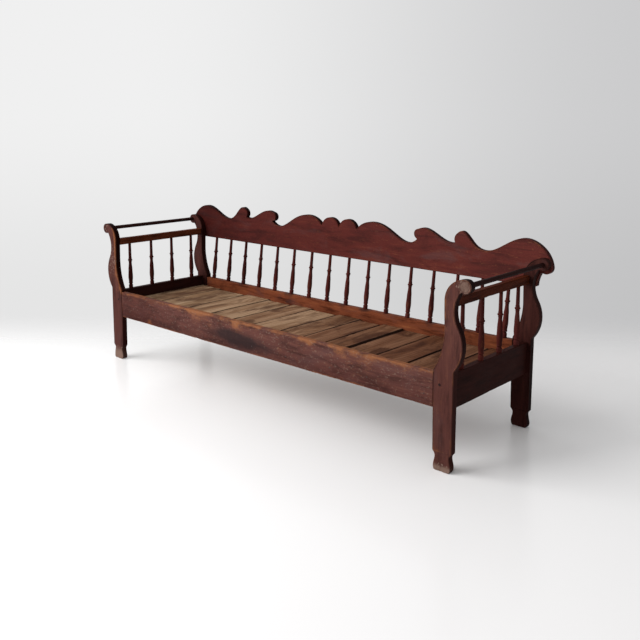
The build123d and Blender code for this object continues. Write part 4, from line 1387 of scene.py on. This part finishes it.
class BENCH_OT_stage(bpy.types.Operator):
    """Set the pale floor, the soft light, the backdrop and the camera"""

    bl_idname = "bench.stage"
    bl_label = "Stage"

    def execute(self, context):
        stage = context.scene.bench_stage
        context.scene.view_settings.view_transform = "Standard"
        self.floor(stage)
        self.world(stage)
        self.lights(stage)
        self.camera(stage)
        return {"FINISHED"}

    def floor(self, stage):
        """A round painted floor as rings about the origin: the radius times the cosine and
        the sine of the angle. It fades into the backdrop far out and behind the bench."""
        angle = np.arange(FLOOR_SIDES)[:, None] * 2 * np.pi / FLOOR_SIDES
        rings = len(FLOOR_RADII)
        grid = np.zeros((FLOOR_SIDES, rings, 3))
        grid[..., 0] = np.cos(angle) * FLOOR_RADII
        grid[..., 1] = np.sin(angle) * FLOOR_RADII
        faces = grid_quads(FLOOR_SIDES, rings, closed=True)[:, ::-1].tolist()
        faces.append((np.arange(FLOOR_SIDES) * rings).tolist())
        mesh = bpy.data.meshes.new("floor")
        mesh.from_pydata(grid.reshape(-1, 3), [], faces)
        mesh.materials.append(self.painted_floor(stage))
        floor = bpy.data.objects.new("floor", mesh)
        bpy.context.scene.collection.objects.link(floor)

    def painted_floor(self, stage):
        """Pale paint, worn smooth in patches, that turns clear with the distance from the
        origin and along the floor's direction behind the bench."""
        r = Recipe(bpy.data.materials.new("painted_floor"))
        place = r.add("TexCoord", {}, out="Object")
        wear = r.noise(place, scale=1.5, detail=2)
        paint = r.add("BsdfPrincipled", {
            "Base Color": (*stage.floor, 1.0), "Roughness": r.span(wear, 0.3, 0.7, 0.2, 0.25),
            "Specular IOR Level": 0.4,
        })
        clear = r.add("BsdfTransparent", {})
        distance = r.add("VectorMath", {0: place}, out=1, operation="LENGTH")
        away = (-math.sin(stage.camera_turn), math.cos(stage.camera_turn), 0)
        behind = r.add("VectorMath", {0: place, 1: away}, out=1, operation="DOT_PRODUCT")
        fade = r.math("MAXIMUM", r.span(distance, 2.6, 4.2), r.span(behind, -0.1, 1.5))
        r.add("OutputMaterial", {"Surface": r.add("MixShader", {0: fade, 1: paint, 2: clear})})
        return r.owner

    def world(self, stage):
        """Soft light from the room, stronger from above and from the window's side, and a
        backdrop that darkens away from the window and lightens towards the ground. Camera,
        glossy and transmitted rays meet the backdrop, all others the light."""
        r = Recipe(bpy.data.worlds.new("room"))
        place = r.add("TexCoord", {}, out="Generated")

        def lean(direction):
            return r.add("VectorMath", {0: place, 1: direction}, out=1, operation="DOT_PRODUCT")

        weak, strong = (share * stage.room_light for share in ROOM_RANGE)
        level = r.add("MapRange", {0: lean(BRIGHT_SIDE), 1: -1.0, 2: 1.0, 3: weak, 4: strong})
        light = r.add("Background", {"Strength": level})
        turn = stage.camera_turn
        across = r.span(lean((math.cos(turn), math.sin(turn), 0)), -0.25, 0.42)
        height = lean((0, 0, 1))
        dim = r.span(height, 0.02, -0.22, 1.0, 0.90)
        wall = r.mix(across, tuple(stage.wall_left), tuple(stage.wall_right))
        wall = r.mix(1.0, wall, r.add("CombineColor", {0: dim, 1: dim, 2: dim}), "MULTIPLY")
        ground = r.mix(across, tuple(stage.ground_left), tuple(stage.ground_right))
        down = r.span(height, -0.24, -0.37)
        backdrop = r.add("Background", {"Color": r.mix(down, wall, ground)})
        seen = r.add("LightPath", {}, out="Is Camera Ray")
        for kind in ("Is Glossy Ray", "Is Transmission Ray"):
            seen = r.math("MAXIMUM", seen, r.add("LightPath", {}, out=kind))
        mixed = r.add("MixShader", {0: seen, 1: light, 2: backdrop})
        r.add("OutputWorld", {"Surface": mixed})
        bpy.context.scene.world = r.owner

    def lights(self, stage):
        """One large soft light as from a window at the front left."""
        lamp = bpy.data.lights.new("window", "AREA")
        lamp.shape = "RECTANGLE"
        lamp.size, lamp.size_y = stage.window_width, stage.window_height
        lamp.energy = stage.window_power
        window = bpy.data.objects.new("window", lamp)
        window.location = stage.window_place
        aim = Vector(AIM) - window.location
        window.rotation_euler = aim.to_track_quat("-Z", "Y").to_euler()
        bpy.context.scene.collection.objects.link(window)

    def camera(self, stage):
        """The camera: rolled about its axis, dipped from level, turned, then put in place."""
        lens = bpy.data.cameras.new("camera")
        lens.lens = stage.camera_lens
        lens.sensor_width = SENSOR_WIDTH
        lens.shift_x = stage.camera_slide
        lens.shift_y = stage.camera_rise
        camera = bpy.data.objects.new("camera", lens)
        camera.matrix_world = (
            Matrix.Translation(stage.camera_place)
            @ Matrix.Rotation(stage.camera_turn, 4, "Z")
            @ Matrix.Rotation(math.pi / 2 - stage.camera_dip, 4, "X")
            @ Matrix.Rotation(stage.camera_roll, 4, "Z")
        )
        bpy.context.scene.collection.objects.link(camera)
        bpy.context.scene.camera = camera


# ---- panel and registration ----

STEPS = (
    BENCH_OT_posts, BENCH_OT_rails, BENCH_OT_arms, BENCH_OT_crest, BENCH_OT_spindles,
    BENCH_OT_seat, BENCH_OT_supports, BENCH_OT_fold_legs, BENCH_OT_fasteners, BENCH_OT_stage,
)


class BENCH_PT_panel(bpy.types.Panel):
    """Lists the steps that make the bench"""

    bl_label = "Bench bed"
    bl_idname = "BENCH_PT_panel"
    bl_space_type = "VIEW_3D"
    bl_region_type = "UI"
    bl_category = "Bench bed"

    def draw(self, context):
        column = self.layout.column()
        for step in STEPS:
            column.operator(step.bl_idname)


CLASSES = (BenchShape, BenchFinish, BenchStage, *STEPS, BENCH_PT_panel)


def register():
    """Registers the classes and gives the scene their settings."""
    for made in CLASSES:
        bpy.utils.register_class(made)
    bpy.types.Scene.bench_shape = PointerProperty(type=BenchShape)
    bpy.types.Scene.bench_finish = PointerProperty(type=BenchFinish)
    bpy.types.Scene.bench_stage = PointerProperty(type=BenchStage)


def unregister():
    """Takes the settings and the classes back out, in the opposite order."""
    del bpy.types.Scene.bench_stage
    del bpy.types.Scene.bench_finish
    del bpy.types.Scene.bench_shape
    for made in reversed(CLASSES):
        bpy.utils.unregister_class(made)


def main():
    """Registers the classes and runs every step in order."""
    register()
    for step in STEPS:
        group, name = step.bl_idname.split(".")
        if getattr(getattr(bpy.ops, group), name)() != {"FINISHED"}:
            raise RuntimeError(f"the step {step.bl_label} didn't finish")


if __name__ == "__main__":
    main()
